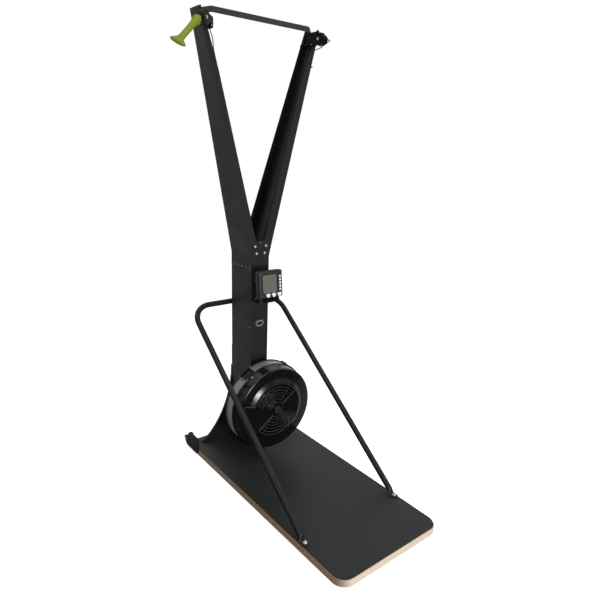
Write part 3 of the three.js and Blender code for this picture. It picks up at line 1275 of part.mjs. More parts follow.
const housingBackY = MONITOR_REAR_DEPTH;
const housingFrontY = housingBackY - MONITOR_DEPTH;
const halfMonitor = MONITOR_WIDTH / 2;
const housingOutline = roundedOutline(
  rectangle(
    HOUSING_BEVEL - halfMonitor, halfMonitor - HOUSING_BEVEL,
    HOUSING_LIFT + HOUSING_BEVEL, HOUSING_LIFT + MONITOR_HEIGHT - HOUSING_BEVEL,
  ),
  HOUSING_CORNER,
);
const housingBevel = {
  depth: MONITOR_DEPTH - 2 * HOUSING_BEVEL,
  bevelEnabled: true,
  bevelThickness: HOUSING_BEVEL,
  bevelSize: HOUSING_BEVEL,
  bevelSegments: 2,
};
const housingBody = slab(housingOutline, 'y', housingFrontY, housingBackY, 3, housingBevel)
  .translate(0, -HOUSING_BEVEL, 0);
const lugX = BARREL_LENGTH / 2 + CLEAR;
const lug = cut(
  block(lugX, lugX + LUG_WIDTH, -LUG_FRONT, LUG_REAR, -LUG_DROP, LUG_TOP),
  rod('x', HINGE_PIN_RADIUS + CLEAR, 0, lugX + LUG_WIDTH + OVERRUN, 16),
);
const screenSide = SCREEN_WIDTH / 2;
const screenRise = SCREEN_HEIGHT / 2;
const [screenX, screenZ] = SCREEN_CENTRE;
const screenPocket = block(
  screenX - screenSide, screenX + screenSide, housingFrontY - OVERRUN, housingFrontY + SCREEN_RECESS,
  screenZ - screenRise, screenZ + screenRise,
);

function wideKeyOutline(margin) {
  const half = WIDE_KEY_HALF + margin;
  return roundedOutline([
    [-half, WIDE_KEY_RISE + margin],
    [-half, 0],
    [-half / 2, -WIDE_KEY_DROP - margin],
    [half / 2, -WIDE_KEY_DROP - margin],
    [half, 0],
    [half, WIDE_KEY_RISE + margin],
  ], WIDE_KEY_CORNER);
}

const keyFrontY = housingFrontY - KEY_PROUD;
const pocketBackY = housingFrontY + KEY_POCKET_DEPTH;
const keyBackY = pocketBackY - KEY_TRAVEL - CLEAR * 2;
const keys = [];
for (let k = 0; k < ROUND_KEYS; k += 1) {
  keys.push({
    name: `round_key_${k + 1}`,
    at: [ROUND_KEY_X, ROUND_KEY_TOP - k * ROUND_KEY_PITCH],
    shape: rod('y', ROUND_KEY_RADIUS, keyFrontY, keyBackY, 16),
    pocket: rod('y', ROUND_KEY_RADIUS + CLEAR, housingFrontY - OVERRUN, pocketBackY, 16),
  });
}
for (let k = 0; k < WIDE_KEYS; k += 1) {
  keys.push({
    name: `wide_key_${k + 1}`,
    at: [WIDE_KEY_FIRST_X + k * WIDE_KEY_PITCH, WIDE_KEY_HEIGHT],
    shape: slab(wideKeyOutline(0), 'y', keyFrontY, keyBackY, 2),
    pocket: slab(wideKeyOutline(CLEAR), 'y', housingFrontY - OVERRUN, pocketBackY, 2),
  });
}
const pockets = keys.map(({ at, pocket }) => pocket.translate(at[0], 0, at[1]));
const housing = cut(join(housingBody, lug, mirrored(lug)), screenPocket, ...pockets);
piece('monitor_housing', housing, 'blackPlastic', monitorGroup);
const screen = block(
  screenX - screenSide + CLEAR, screenX + screenSide - CLEAR,
  housingFrontY + SCREEN_RECESS - SCREEN_THICKNESS - CLEAR, housingFrontY + SCREEN_RECESS - CLEAR,
  screenZ - screenRise + CLEAR, screenZ + screenRise - CLEAR,
);
piece('monitor_screen', screen, 'screenGlass', monitorGroup);
for (const { name, at, shape } of keys) {
  piece(name, shape, 'whiteKey', monitorGroup).position.set(at[0], 0, at[1]);
}

export default machine;
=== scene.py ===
from math import asin, atan2, ceil, cos, hypot, pi, radians, sin, sqrt, tan

import bmesh
import bpy
from mathutils import Matrix, Vector


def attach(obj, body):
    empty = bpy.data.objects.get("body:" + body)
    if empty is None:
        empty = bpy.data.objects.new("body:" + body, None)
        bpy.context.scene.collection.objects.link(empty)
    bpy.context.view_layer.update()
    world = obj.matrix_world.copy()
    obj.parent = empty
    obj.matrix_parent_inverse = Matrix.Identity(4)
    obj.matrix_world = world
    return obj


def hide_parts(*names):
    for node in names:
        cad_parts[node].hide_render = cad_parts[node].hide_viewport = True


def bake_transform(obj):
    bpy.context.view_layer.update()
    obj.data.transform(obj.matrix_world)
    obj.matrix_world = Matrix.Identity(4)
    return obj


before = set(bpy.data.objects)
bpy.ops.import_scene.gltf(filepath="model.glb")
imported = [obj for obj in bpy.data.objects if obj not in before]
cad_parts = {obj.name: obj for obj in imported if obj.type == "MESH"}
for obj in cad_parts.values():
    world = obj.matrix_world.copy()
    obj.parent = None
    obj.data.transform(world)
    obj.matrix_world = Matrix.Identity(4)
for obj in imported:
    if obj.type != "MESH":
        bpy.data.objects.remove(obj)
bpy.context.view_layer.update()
MM = 0.001

# Camera and studio. The camera stands in front of the machine, to the left of the user, above
# head height and turned down to the board. The floor is a pale sweep that keeps a soft shadow and
# that gloss sees dim on the camera's side. Large soft lamps stand to the left, above, to the right
# and low in front, and one more in front is there for the sheen on gloss only.
CAMERA_PLACE = Vector((-1.44067, -1.69361, 1.60318))
CAMERA_HEADING = 0.66
CAMERA_DIP = 0.3433
CAMERA_ROLL = 0.0315
forward = Vector((
    sin(CAMERA_HEADING) * cos(CAMERA_DIP),
    cos(CAMERA_HEADING) * cos(CAMERA_DIP),
    -sin(CAMERA_DIP),
))
level = Vector((cos(CAMERA_HEADING), -sin(CAMERA_HEADING), 0))
overhead = level.cross(forward)
image_right = level * cos(CAMERA_ROLL) + overhead * sin(CAMERA_ROLL)
image_up = overhead * cos(CAMERA_ROLL) - level * sin(CAMERA_ROLL)
camera_data = bpy.data.cameras.new("camera")
camera_data.sensor_width = 36
camera_data.lens = 30.70
camera_data.shift_x = 0.0248
camera_data.shift_y = 0.0597
camera = bpy.data.objects.new("camera", camera_data)
turn_of_camera = Matrix((image_right, image_up, -forward)).transposed()
camera.matrix_world = Matrix.Translation(CAMERA_PLACE) @ turn_of_camera.to_4x4()
bpy.context.scene.collection.objects.link(camera)
bpy.context.scene.camera = camera
bpy.context.scene.view_settings.view_transform = "Standard"


def linear(code):
    """An sRGB hex value as the linear colour that a shader takes."""
    shares = [int(code[i:i + 2], 16) / 255 for i in (1, 3, 5)]
    return [s / 12.92 if s <= 0.04045 else ((s + 0.055) / 1.055) ** 2.4 for s in shares] + [1.0]


def link(tree, source, target):
    """Leads a socket, or a node's first output, to a socket."""
    first = source.outputs[0] if isinstance(source, bpy.types.Node) else source
    tree.links.new(first, target)


def add(tree, kind, values=None, links=None, **settings):
    """Adds a node: its settings, the values of its sockets, and the sockets that are linked."""
    node = tree.nodes.new(kind)
    for name, value in settings.items():
        setattr(node, name, value)
    for socket, value in (values or {}).items():
        node.inputs[socket].default_value = value
    for socket, source in (links or {}).items():
        link(tree, source, node.inputs[socket])
    return node


def sums(tree, operation, first, second, third=0.0):
    """A sum of numbers or sockets, as one socket."""
    node = add(tree, "ShaderNodeMath", operation=operation)
    for socket, value in enumerate((first, second, third)):
        if isinstance(value, (int, float)):
            node.inputs[socket].default_value = value
        else:
            link(tree, value, node.inputs[socket])
    return node


def colour_mix(tree, share, first, second, blend="MIX"):
    """Two colours mixed by a share: each is a hex value or a socket."""
    node = add(tree, "ShaderNodeMix", None, {0: share}, data_type="RGBA", blend_type=blend)
    for socket, colour in ((6, first), (7, second)):
        if isinstance(colour, str):
            node.inputs[socket].default_value = linear(colour)
        else:
            link(tree, colour, node.inputs[socket])
    return node.outputs[2]


def mapped(tree, value, low, high, to_low=0.0, to_high=1.0):
    """A socket's range from low to high, brought to another range."""
    return add(tree, "ShaderNodeMapRange", {
        "From Min": low, "From Max": high, "To Min": to_low, "To Max": to_high},
        {"Value": value})


def in_scene(name, data):
    """A new object with this data, in the scene."""
    thing = bpy.data.objects.new(name, data)
    bpy.context.scene.collection.objects.link(thing)
    return thing


SIDES = (("left", -1), ("right", 1))

world = bpy.data.worlds.new("studio")
bpy.context.scene.world = world
world.use_nodes = True
sky = world.node_tree
sky.nodes.clear()
# What shows behind the machine is white, and gloss sees it white on that side and dim on the
# camera's side, as in a room lit from the far end. Matt surfaces get their even light from the
# right, in front and above, and little of it from the left.
ray = add(sky, "ShaderNodeLightPath")
direction = add(sky, "ShaderNodeTexCoord").outputs["Generated"]
HEADING = (sin(CAMERA_HEADING), cos(CAMERA_HEADING), 0)
LIT_SIDE = (0.5, -0.7, 0.5)


def dot(tree, vector, other):
    """How far a vector socket points along another vector."""
    return add(tree, "ShaderNodeVectorMath", {1: other}, {0: vector},
               operation="DOT_PRODUCT").outputs["Value"]


gloss_light = mapped(sky, dot(sky, direction, HEADING), -0.3, 0.32, 0.06, 1.0)
even_light = mapped(sky, dot(sky, direction, LIT_SIDE), -0.6, 0.8, 0.08, 0.6)
not_seen = add(sky, "ShaderNodeMix", None, {
    0: ray.outputs["Is Glossy Ray"], 2: even_light, 3: gloss_light})
seen = sums(sky, "MAXIMUM", ray.outputs["Is Camera Ray"], ray.outputs["Is Transmission Ray"])
strength = add(sky, "ShaderNodeMix", {3: 1.0}, {0: seen, 2: not_seen})
backdrop = add(sky, "ShaderNodeBackground", {"Color": (1, 1, 1, 1)},
               {"Strength": strength})
add(sky, "ShaderNodeOutputWorld", None, {"Surface": backdrop})

FLOOR_REACH = 14.0
floor_mesh = bpy.data.meshes.new("studio_floor")
floor_mesh.from_pydata(
    [(-FLOOR_REACH, -FLOOR_REACH, 0), (FLOOR_REACH, -FLOOR_REACH, 0),
     (FLOOR_REACH, FLOOR_REACH, 0), (-FLOOR_REACH, FLOOR_REACH, 0)], [], [(0, 1, 2, 3)])
studio_floor = in_scene("studio_floor", floor_mesh)
floor_paint = bpy.data.materials.new("matt_white_floor")
floor_paint.use_nodes = True
paint = floor_paint.node_tree
paint.nodes.clear()
ray = add(paint, "ShaderNodeLightPath")
spot = add(paint, "ShaderNodeNewGeometry").outputs["Position"]
beyond = mapped(paint, dot(paint, spot, HEADING), 0.1, 0.8)
in_gloss = ray.outputs["Is Glossy Ray"]
tone = colour_mix(paint, in_gloss, "#f2f2f2", colour_mix(paint, beyond, "#383838", "#f2f2f2"))
matt = add(paint, "ShaderNodeBsdfDiffuse", None, {"Color": tone})
GLOW_SEEN, GLOW_MIRRORED = 0.66, 0.08
gloss_glow = sums(paint, "MULTIPLY", sums(paint, "MULTIPLY", in_gloss, beyond), GLOW_MIRRORED)
seen_glow = sums(paint, "MULTIPLY_ADD", ray.outputs["Is Camera Ray"], GLOW_SEEN, gloss_glow)
glow = add(paint, "ShaderNodeEmission", {"Color": (1, 1, 1, 1)}, {"Strength": seen_glow})
both = add(paint, "ShaderNodeAddShader", None, {0: matt, 1: glow})
add(paint, "ShaderNodeOutputMaterial", None, {"Surface": both})
floor_mesh.materials.append(floor_paint)

for lamp_name, place, aim, across, power in (
    ("lamp_left", (-3.4, -1.0, 2.8), (0, 0.2, 1.0), 1.8, 42),
    ("lamp_above", (-0.4, -1.2, 4.4), (0, 0.2, 0.8), 2.4, 60),
    ("lamp_right", (2.8, -2.8, 2.2), (0, 0.2, 0.9), 2.4, 16),
    ("lamp_front", (-0.1, -3.2, 0.62), (-0.1, 0.2, 0.4), 1.2, 42),
    ("lamp_sheen", (-0.1, -3.1, 0.66), (-0.1, 0.2, 0.4), 0.8, 36),
):
    lamp_data = bpy.data.lights.new(lamp_name, "AREA")
    lamp_data.shape = "SQUARE"
    lamp_data.size = across
    lamp_data.energy = power
    lamp = in_scene(lamp_name, lamp_data)
    lamp.location = place
    lamp.rotation_euler = (Vector(aim) - Vector(place)).to_track_quat("-Z", "Y").to_euler()
    lamp.visible_diffuse = lamp_name != "lamp_sheen"


# Floor strips: three flat bars of solid rubber under the board, which keep it off the floor and
# stop it sliding. They are cut from ribbed sheet and glued to the plywood.
def new_finish(name, values):
    """A material with one Principled shader, and the values that are the same all over."""
    finish = bpy.data.materials.new(name)
    finish.use_nodes = True
    shader = finish.node_tree.nodes["Principled BSDF"]
    for socket, value in values.items():
        shader.inputs[socket].default_value = value
    return finish, finish.node_tree, shader


def mottle(tree, shader, scale, dark, light, dull, fine, depth):
    """Uneven colour and roughness at one scale, and a fine relief at another."""
    place = add(tree, "ShaderNodeTexCoord").outputs["Object"]
    cloud = add(tree, "ShaderNodeTexNoise", {"Scale": scale, "Detail": 5.0, "Roughness": 0.6},
                {"Vector": place})
    tone = colour_mix(tree, cloud.outputs["Fac"], dark, light)
    rough = mapped(tree, cloud.outputs["Fac"], 0.3, 0.7, *dull)
    grain = add(tree, "ShaderNodeTexNoise", {"Scale": fine, "Detail": 2.0}, {"Vector": place})
    relief = add(tree, "ShaderNodeBump", {"Strength": 0.5, "Distance": depth},
                 {"Height": grain.outputs["Fac"]})
    link(tree, tone, shader.inputs["Base Color"])
    link(tree, rough, shader.inputs["Roughness"])
    link(tree, relief, shader.inputs["Normal"])


def even_finish(name, specular, *grain, **others):
    """A finish that is mottled all over, with its specular level and the grain for mottle."""
    values = {"Specular IOR Level": specular}
    values.update({socket.replace("_", " "): value for socket, value in others.items()})
    finish, tree, shader = new_finish(name, values)
    mottle(tree, shader, *grain)
    return finish


# Solid black rubber: dull, slightly greyed by handling, with a fine moulded grain.
black_rubber = even_finish("black_rubber_moulded", 0.3,
                           24.0, "#161616", "#242424", (0.7, 0.9), 900.0, 0.0003)


def dress(node_name, finish):
    """Gives a solid of the frame its finish."""
    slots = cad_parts[node_name].data.materials
    slots.clear()
    slots.append(finish)


for strip in ("floor_strip_front", "floor_strip_middle", "floor_strip_rear"):
    dress(strip, black_rubber)


# Board: nine plies of birch, glued crosswise and clear lacquered, with two rounded corners at the
# user's end. Its sawn edge is left bare, so the plies show as fine light and dark lines.
BOARD_LENGTH, BOARD_WIDTH = 1270, 600
BOARD_BOTTOM, BOARD_TOP = 4, 40
BOARD_CORNER = 60
PLY = 4
GLUE_SHARE = 0.1


def quarter(centre_u, centre_v, radius, start, steps):
    """Points along a quarter of a circle, from a start angle in degrees."""
    angles = [radians(start + 90 * k / steps) for k in range(steps + 1)]
    return [(centre_u + radius * cos(angle), centre_v + radius * sin(angle))
            for angle in angles]


def rounded_front(inset):
    """The board's outline, seen from above, with round corners at the front."""
    side = BOARD_WIDTH / 2 - inset
    end = BOARD_LENGTH / 2 - inset
    radius = BOARD_CORNER - inset
    outline = [(side, end), (-side, end)]
    for centre_x, start in ((radius - side, 180), (side - radius, 270)):
        outline += quarter(centre_x, radius - end, radius, start, 14)
    return outline


AXES = {"x": (1, 2, 0), "y": (0, 2, 1), "z": (0, 1, 2)}


def plate(outline, axis, low, high, holes=()):
    """A flat plate, cut to an outline with holes, between two places on an axis."""
    first, second, third = AXES[axis]
    shape = bmesh.new()
    edges = []
    for loop in (outline, *holes):
        corners = []
        for u, v in loop:
            place = [0.0, 0.0, 0.0]
            place[first], place[second], place[third] = u * MM, v * MM, low * MM
            corners.append(shape.verts.new(place))
        edges += [shape.edges.new(pair) for pair in zip(corners, corners[1:] + corners[:1])]
    bmesh.ops.triangle_fill(shape, use_beauty=True, edges=edges)
    raised = bmesh.ops.extrude_face_region(shape, geom=shape.faces[:])
    lift = Vector((0, 0, 0))
    lift[third] = (high - low) * MM
    bmesh.ops.translate(shape, vec=lift, verts=[v for v in raised["geom"]
                                                if isinstance(v, bmesh.types.BMVert)])
    bmesh.ops.dissolve_limit(shape, angle_limit=radians(1), verts=shape.verts,
                             edges=shape.edges)
    return shape


def shape_of(data):
    """A mesh as a shape that can be worked on."""
    shape = bmesh.new()
    shape.from_mesh(data)
    return shape


def moved(shape, matrix):
    """A shape brought to its place by a matrix."""
    bmesh.ops.transform(shape, matrix=matrix, verts=shape.verts)
    return shape


def make_piece(name, shape, finish, body, stands_for=(), soften=0.0, segments=2, sharp=35):
    """Turns a shape into a finished piece: normals out, edges softened, hung on its body."""
    bmesh.ops.remove_doubles(shape, verts=shape.verts, dist=1e-6)
    bmesh.ops.recalc_face_normals(shape, faces=shape.faces)
    data = bpy.data.meshes.new(name)
    shape.to_mesh(data)
    shape.free()
    data.materials.append(finish)
    data.polygons.foreach_set("use_smooth", [True] * len(data.polygons))
    data.set_sharp_from_angle(angle=radians(sharp))
    piece = in_scene(name, data)
    if soften:
        edge = piece.modifiers.new("soft_edge", "BEVEL")
        edge.width = soften * MM
        edge.segments = segments
        edge.limit_method = "ANGLE"
        edge.angle_limit = radians(sharp)
        edge.harden_normals = True
    if body:
        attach(piece, body)
    if stands_for:
        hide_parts(*([stands_for] if isinstance(stands_for, str) else stands_for))
    return piece


# Birch ply, lacquered: the lines are the plies, 4 mm each, every second one cut across its grain
# and so darker and more open. The speckle runs along the edge. The long edges are painted a darker
# brown than the front: painted shade, for the sides that the light does not reach.
birch_ply, tree, shader = new_finish("birch_plywood_lacquered", {
    "Coat Weight": 0.25, "Coat Roughness": 0.3, "Specular IOR Level": 0.3})
place = add(tree, "ShaderNodeTexCoord").outputs["Object"]
split = add(tree, "ShaderNodeSeparateXYZ", None, {0: place})
count = sums(tree, "MULTIPLY", split.outputs[2], 1 / (PLY * MM))
across = sums(tree, "GREATER_THAN", sums(tree, "MODULO", count, 2.0), 1.0)
glue = sums(tree, "LESS_THAN", sums(tree, "FRACT", count, 0.0), GLUE_SHARE)
stretch = add(tree, "ShaderNodeMapping", {"Scale": (60.0, 60.0, 900.0)}, {"Vector": place})
fibre = add(tree, "ShaderNodeTexNoise", {"Scale": 1.0, "Detail": 4.0},
            {"Vector": stretch})
flat_ply = colour_mix(tree, fibre.outputs["Fac"], "#d8cab8", "#efe5d8")
end_ply = colour_mix(tree, fibre.outputs["Fac"], "#a9937b", "#d3bfa7")
plies = colour_mix(tree, across, flat_ply, end_ply)
glued = colour_mix(tree, glue, plies, "#8a6c50")
# Painted shade: the plies turn darker brown towards both long edges of the board.
painted_side_shade = mapped(tree, sums(tree, "ABSOLUTE", split, 0.0), 0.25, 0.295, 0.0, 0.9)
side_shaded = colour_mix(tree, painted_side_shade, glued, "#94826e", "MULTIPLY")
link(tree, side_shaded, shader.inputs["Base Color"])
rough = mapped(tree, fibre.outputs["Fac"], 0.0, 1.0, 0.42, 0.62)
link(tree, rough, shader.inputs["Roughness"])
relief = add(tree, "ShaderNodeBump", {"Strength": 0.35, "Distance": 0.0004},
             {"Height": fibre.outputs["Fac"]})
link(tree, relief, shader.inputs["Normal"])
make_piece("board_plywood", plate(rounded_front(0), "z", BOARD_BOTTOM, BOARD_TOP), birch_ply,
           "frame", "base_board", soften=2.5, segments=3)


# Mat: a 4 mm sheet of black rubber over the whole board, bonded down and trimmed a little inside
# the plywood. It is calendered smooth with a fine pebble, so it mirrors the far side faintly.
MAT_INSET = 3
MAT_TOP = 44
mat_rubber = even_finish("rubber_mat_pebbled", 0.18,
                         3.2, "#1d211f", "#272b29", (0.38, 0.5), 520.0, 0.0002)
make_piece("standing_mat", plate(rounded_front(MAT_INSET), "z", BOARD_TOP, MAT_TOP), mat_rubber,
           "frame", "base_mat", soften=1.2)


# Tower foot: a 5 mm steel plate, laser cut with round corners, under the column. Four bolts go
# through it and the board into threaded plates below.
# Powder coat on steel: a deep black with a satin sheen. The peel is about 2 mm across, drawn a
# little coarse so that it shows, and the satin is uneven over a hand's width.
def powder_coat(name, dark, light):
    """Black polyester powder coat, baked on to sheet or tube."""
    return even_finish(name, 0.28, 9.0, dark, light, (0.42, 0.56), 480.0, 0.00025)


black_powder = powder_coat("powder_coat_black_satin", "#0e0e10", "#151517")


def soft_copy(node_name, name, soften, finish=black_powder, body="frame",
              segments=2):
    """A piece with the form of a solid of the frame, its faces joined and its edges softened."""
    shape = shape_of(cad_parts[node_name].data)
    bmesh.ops.remove_doubles(shape, verts=shape.verts, dist=1e-5)
    bmesh.ops.dissolve_limit(shape, angle_limit=radians(1), verts=shape.verts,
                             edges=shape.edges)
    return make_piece(name, shape, finish, body, node_name, soften, segments)


soft_copy("foot_plate", "tower_foot_plate", 1.0)


def whole_turn(steps):
    """The angles of so many even steps round a circle."""
    return [2 * pi * k / steps for k in range(steps)]


def on_axis(axis, along, u, v):
    """A point at a place along an axis and at two distances across it."""
    return Vector({"x": (along, u, v), "y": (u, along, v), "z": (u, v, along)}[axis])


def turn(profile, centre, axis, steps=32, ring=False):
    """A turned shape: the profile's points are (radius, place along the axis)."""
    shape = bmesh.new()
    loops = []
    for radius, along in profile:
        loops.append([shape.verts.new((Vector(centre) + on_axis(
            axis, along, radius * cos(angle), radius * sin(angle))) * MM)
            for angle in (whole_turn(steps) if radius else [0.0])])
    for low, high in zip(loops, loops[1:] + (loops[:1] if ring else [])):
        for k in range(steps):
            after = k + 1
            corners = (low[k % len(low)], low[after % len(low)],
                       high[after % len(high)], high[k % len(high)])
            shape.faces.new(list(dict.fromkeys(corners)))
    return shape


def skin(shape, rings):
    """Joins rings of as many corners each with faces, and closes both ends."""
    for low, high in zip(rings, rings[1:]):
        for k in range(len(low)):
            on = (k + 1) % len(low)
            shape.faces.new((low[k], low[on], high[on], high[k]))
    shape.faces.new(rings[0])
    shape.faces.new(rings[-1])
    return shape


def new_tree(name, sizes):
    """A geometry tree with named inputs, the sockets of these, and its output node."""
    tree = bpy.data.node_groups.new(name, "GeometryNodeTree")
    tree.interface.new_socket("Geometry", in_out="INPUT", socket_type="NodeSocketGeometry")
    for label, kind in sizes.items():
        tree.interface.new_socket(label, in_out="INPUT", socket_type="NodeSocket" + kind)
    tree.interface.new_socket("Geometry", in_out="OUTPUT", socket_type="NodeSocketGeometry")
    return tree, add(tree, "NodeGroupInput").outputs, add(tree, "NodeGroupOutput")


def close_tree(tree, instances, finish_socket, end):
    """Realizes the instances, gives them their finish and leads them to the output."""
    real = add(tree, "GeometryNodeRealizeInstances", None, {"Geometry": instances})
    painted = add(tree, "GeometryNodeSetMaterial", None, {
        "Geometry": real, "Material": finish_socket})
    link(tree, painted, end.inputs[0])


def grow(tree, name, seed_mesh, values):
    """Runs a tree on a mesh and returns the result as one plain shape."""
    holder = in_scene(name + "_seed", seed_mesh)
    modifier = holder.modifiers.new("tree", "NODES")
    modifier.node_group = tree
    for item in tree.interface.items_tree:
        if item.in_out == "INPUT" and item.name in values:
            modifier[item.identifier] = values[item.name]
    graph = bpy.context.evaluated_depsgraph_get()
    grown = bpy.data.meshes.new_from_object(holder.evaluated_get(graph))
    holder.modifiers.remove(modifier)
    bpy.data.objects.remove(holder)
    return shape_of(grown)


# The tree sets copies of one fastener in a straight row.
fastener_row, start, end = new_tree("fastener_row", {
    "Count": "Int", "Start": "Vector", "Step": "Vector", "Finish": "Material"})
row = add(fastener_row, "GeometryNodeMeshLine", None, {
    "Count": start["Count"], "Start Location": start["Start"], "Offset": start["Step"]},
    mode="OFFSET")
copies = add(fastener_row, "GeometryNodeInstanceOnPoints", None, {
    "Points": row, "Instance": start["Geometry"]})
close_tree(fastener_row, copies, start["Finish"], end)

# Zinc-plated steel: bright, a little clouded, with the drawing marks of a cold-formed head.
zinc = even_finish("zinc_plated_steel", 0.5, 130.0, "#a9a9a8", "#d2d2d0", (0.24, 0.42), 1500.0,
                   0.0001, Metallic=1.0)


def domed_head(radius, height, socket, axis, outward):
    """A round-headed screw with a hexagon socket, its seat at the origin."""
    shape = bmesh.new()
    angles = whole_turn(18)
    hexagon = [socket * cos(pi / 6) / cos(angle % (pi / 3) - pi / 6) for angle in angles]
    rings = [([radius * share] * len(angles), up) for share, up in (
        (1, 0.0), (1, 0.3), (0.93, 0.62), (0.78, 0.86), (0.55, 1.0))]
    rings += [(hexagon, 1.0), (hexagon, 0.35)]
    skin(shape, [[shape.verts.new(on_axis(
        axis, up * height * outward, reach * cos(angle), reach * sin(angle)) * MM)
        for reach, angle in zip(reaches, angles)] for reaches, up in rings])
    bmesh.ops.recalc_face_normals(shape, faces=shape.faces)
    data = bpy.data.meshes.new("screw_head")
    shape.to_mesh(data)
    shape.free()
    return data


def screw_row(name, head, first, count=1, step=(0, 1, 0), finish=zinc):
    """One screw head, or a row of them, as one piece."""
    shape = grow(fastener_row, name, head, {
        "Count": count, "Start": Vector(first) * MM, "Step": Vector(step) * MM,
        "Finish": finish})
    return make_piece(name, shape, finish, "frame", sharp=30)


FOOT_PLATE_TOP = 49
PLATE_BOLT_X, PLATE_BOLT_Y, PLATE_BOLT_PITCH = 69, 400, 154
for side, sign in SIDES:
    screw_row(f"foot_plate_bolts_{side}", domed_head(8, 5, 3.4, "z", 1),
              (sign * PLATE_BOLT_X, PLATE_BOLT_Y, FOOT_PLATE_TOP), 2, (0, PLATE_BOLT_PITCH, 0),
              black_powder)


# Column: a box of 2.5 mm sheet steel, folded and seam welded at the back, standing on the foot
# plate. It is powder coated black, and its folded corners have a small radius.
COLUMN_HALF = 51.5
COLUMN_FRONT = 382
SIDE_SCREW_HEIGHT, SIDE_SCREW_DROP = 747, 265
SIDE_SCREW_FRONT, SIDE_SCREW_REAR = 397, 561
soft_copy("column", "column_box", 1.6, segments=3)
side_screw = domed_head(3.4, 1.6, 1.5, "x", -1)
screw_row("column_side_screws", side_screw, (-COLUMN_HALF, SIDE_SCREW_FRONT, SIDE_SCREW_HEIGHT))
screw_row("column_rear_screws", side_screw, (-COLUMN_HALF, SIDE_SCREW_REAR, SIDE_SCREW_HEIGHT),
          2, (0, 0, -SIDE_SCREW_DROP))

# Badge: a blank hexagon plate on the column's front, die cast in zinc, with a bright raised rim
# round a black field. It is bonded on.
BADGE_HEIGHT = 767
BADGE_HALF_WIDTH, BADGE_HALF_HEIGHT = 26, 16.5
BADGE_THICKNESS, FIELD_THICKNESS = 1.6, 0.8
FIELD_WIDE, FIELD_HIGH, FIELD_FIT = 0.7, 0.52, 0.98
hexagon = [(BADGE_HALF_WIDTH * u, BADGE_HEIGHT + BADGE_HALF_HEIGHT * v) for u, v in (
    (1, 0), (0.62, 1), (-0.62, 1), (-1, 0), (-0.62, -1), (0.62, -1))]
inner = [(FIELD_WIDE * u, BADGE_HEIGHT + FIELD_HIGH * (v - BADGE_HEIGHT)) for u, v in hexagon]
rim = plate(hexagon, "y", COLUMN_FRONT - BADGE_THICKNESS, COLUMN_FRONT, [inner])
make_piece("badge_rim", rim, zinc, "frame", soften=0.4)
field = plate([(u * FIELD_FIT, v) for u, v in inner], "y", COLUMN_FRONT - FIELD_THICKNESS,
              COLUMN_FRONT)
make_piece("badge_plate", field, black_powder, "frame", soften=0.2)


# Back panel: a 3 mm plate that flares from the column to the board, its edge turned back for
# stiffness and its foot bolted down.
soft_copy("back_panel", "back_panel_sheet", 0.9)


# Transport wheels: a rubber tyre on a moulded hub at each rear corner, carried by a thick plate
# on the board's edge. The machine rolls on them when it is tipped back.
black_plastic = even_finish("abs_black_moulded", 0.35,
                            16.0, "#141517", "#1d1e20", (0.45, 0.6), 1100.0, 0.00015)
ROLLER_X, ROLLER_Y, ROLLER_Z = 281.7, 662.5, 50
for side, sign in SIDES:
    soft_copy(f"wheel_bracket_{side}", f"wheel_plate_{side}", 1.2)
    centre = (sign * ROLLER_X, ROLLER_Y, ROLLER_Z)
    tyre = turn([(16, 1.5), (24, 0.4), (25, 3), (25, 15), (24, 17.6), (16, 16.5)],
                centre, "x", 40, ring=True)
    make_piece(f"wheel_tyre_{side}", tyre, black_rubber, f"transport_wheel_{side}",
               f"transport_wheel_{side}", soften=0.8)
    hub = turn([(5.3, 1), (9, 1), (10, 3), (15.5, 3), (15.5, 15), (10, 15), (9, 17), (5.3, 17)],
               centre, "x", 40, ring=True)
    make_piece(f"wheel_hub_{side}", hub, black_plastic, f"transport_wheel_{side}",
               soften=0.5)
    soft_copy(f"wheel_bolt_{side}", f"wheel_axle_bolt_{side}", 0.8, zinc)


# Arms: two tapered channels of 3 mm sheet steel that open towards each other and lean outwards
# from the tower. Each is screwed to the column through its lower end.
SEAM_SCREW_HEIGHT = 1057
SEAM_SCREW_Y, SEAM_SCREW_PITCH = 399, 36.2
for side, sign in SIDES:
    soft_copy(f"arm_{side}", f"arm_channel_{side}", 1.0)
    screw_row(f"seam_screws_{side}", domed_head(3.2, 1.6, 1.4, "x", sign),
              (sign * COLUMN_HALF, SEAM_SCREW_Y, SEAM_SCREW_HEIGHT), 5, (0, SEAM_SCREW_PITCH, 0))


# Front plate: a flat plate that closes the tower below the fork, with four bolts and one small
# screw that hold the arms to the frame inside.
soft_copy("front_plate", "fork_plate", 0.6)
fork_bolt = domed_head(7.6, 4.0, 3.2, "y", -1)
fork_screw = domed_head(3.4, 1.8, 1.6, "y", -1)
for name, head, count, half_span, height in (
    ("fork_bolts_upper", fork_bolt, 2, 32, 1166),
    ("fork_bolts_lower", fork_bolt, 2, 24, 1130),
    ("fork_screw", fork_screw, 1, 0, 1182),
):
    screw_row(name, head, (-half_span, COLUMN_FRONT, height), count, (2 * half_span, 0, 0))


# Crossbar: a flat steel bar with rolled edges between the arm tops, its ends bent back and screwed
# to the arms' inner faces. Its powder coat is painted a lighter, warmer grey than the black
# elsewhere, as painted light on the bar.
def rounded_path(corners, radius, steps):
    """A path through corners, with an arc of one radius at each inner corner."""
    corners = [Vector(corner) for corner in corners]
    path = [corners[0]]
    for before, corner, after in zip(corners, corners[1:], corners[2:]):
        back, on = (before - corner).normalized(), (after - corner).normalized()
        half = back.angle(on) / 2
        middle = corner + (back + on).normalized() * (radius / sin(half))
        first = corner + back * (radius / tan(half)) - middle
        last = corner + on * (radius / tan(half)) - middle
        axle, whole = first.cross(last), first.angle(last)
        path += [middle + Matrix.Rotation(whole * k / steps, 3, axle) @ first
                 for k in range(steps + 1)]
    return path + [corners[-1]]


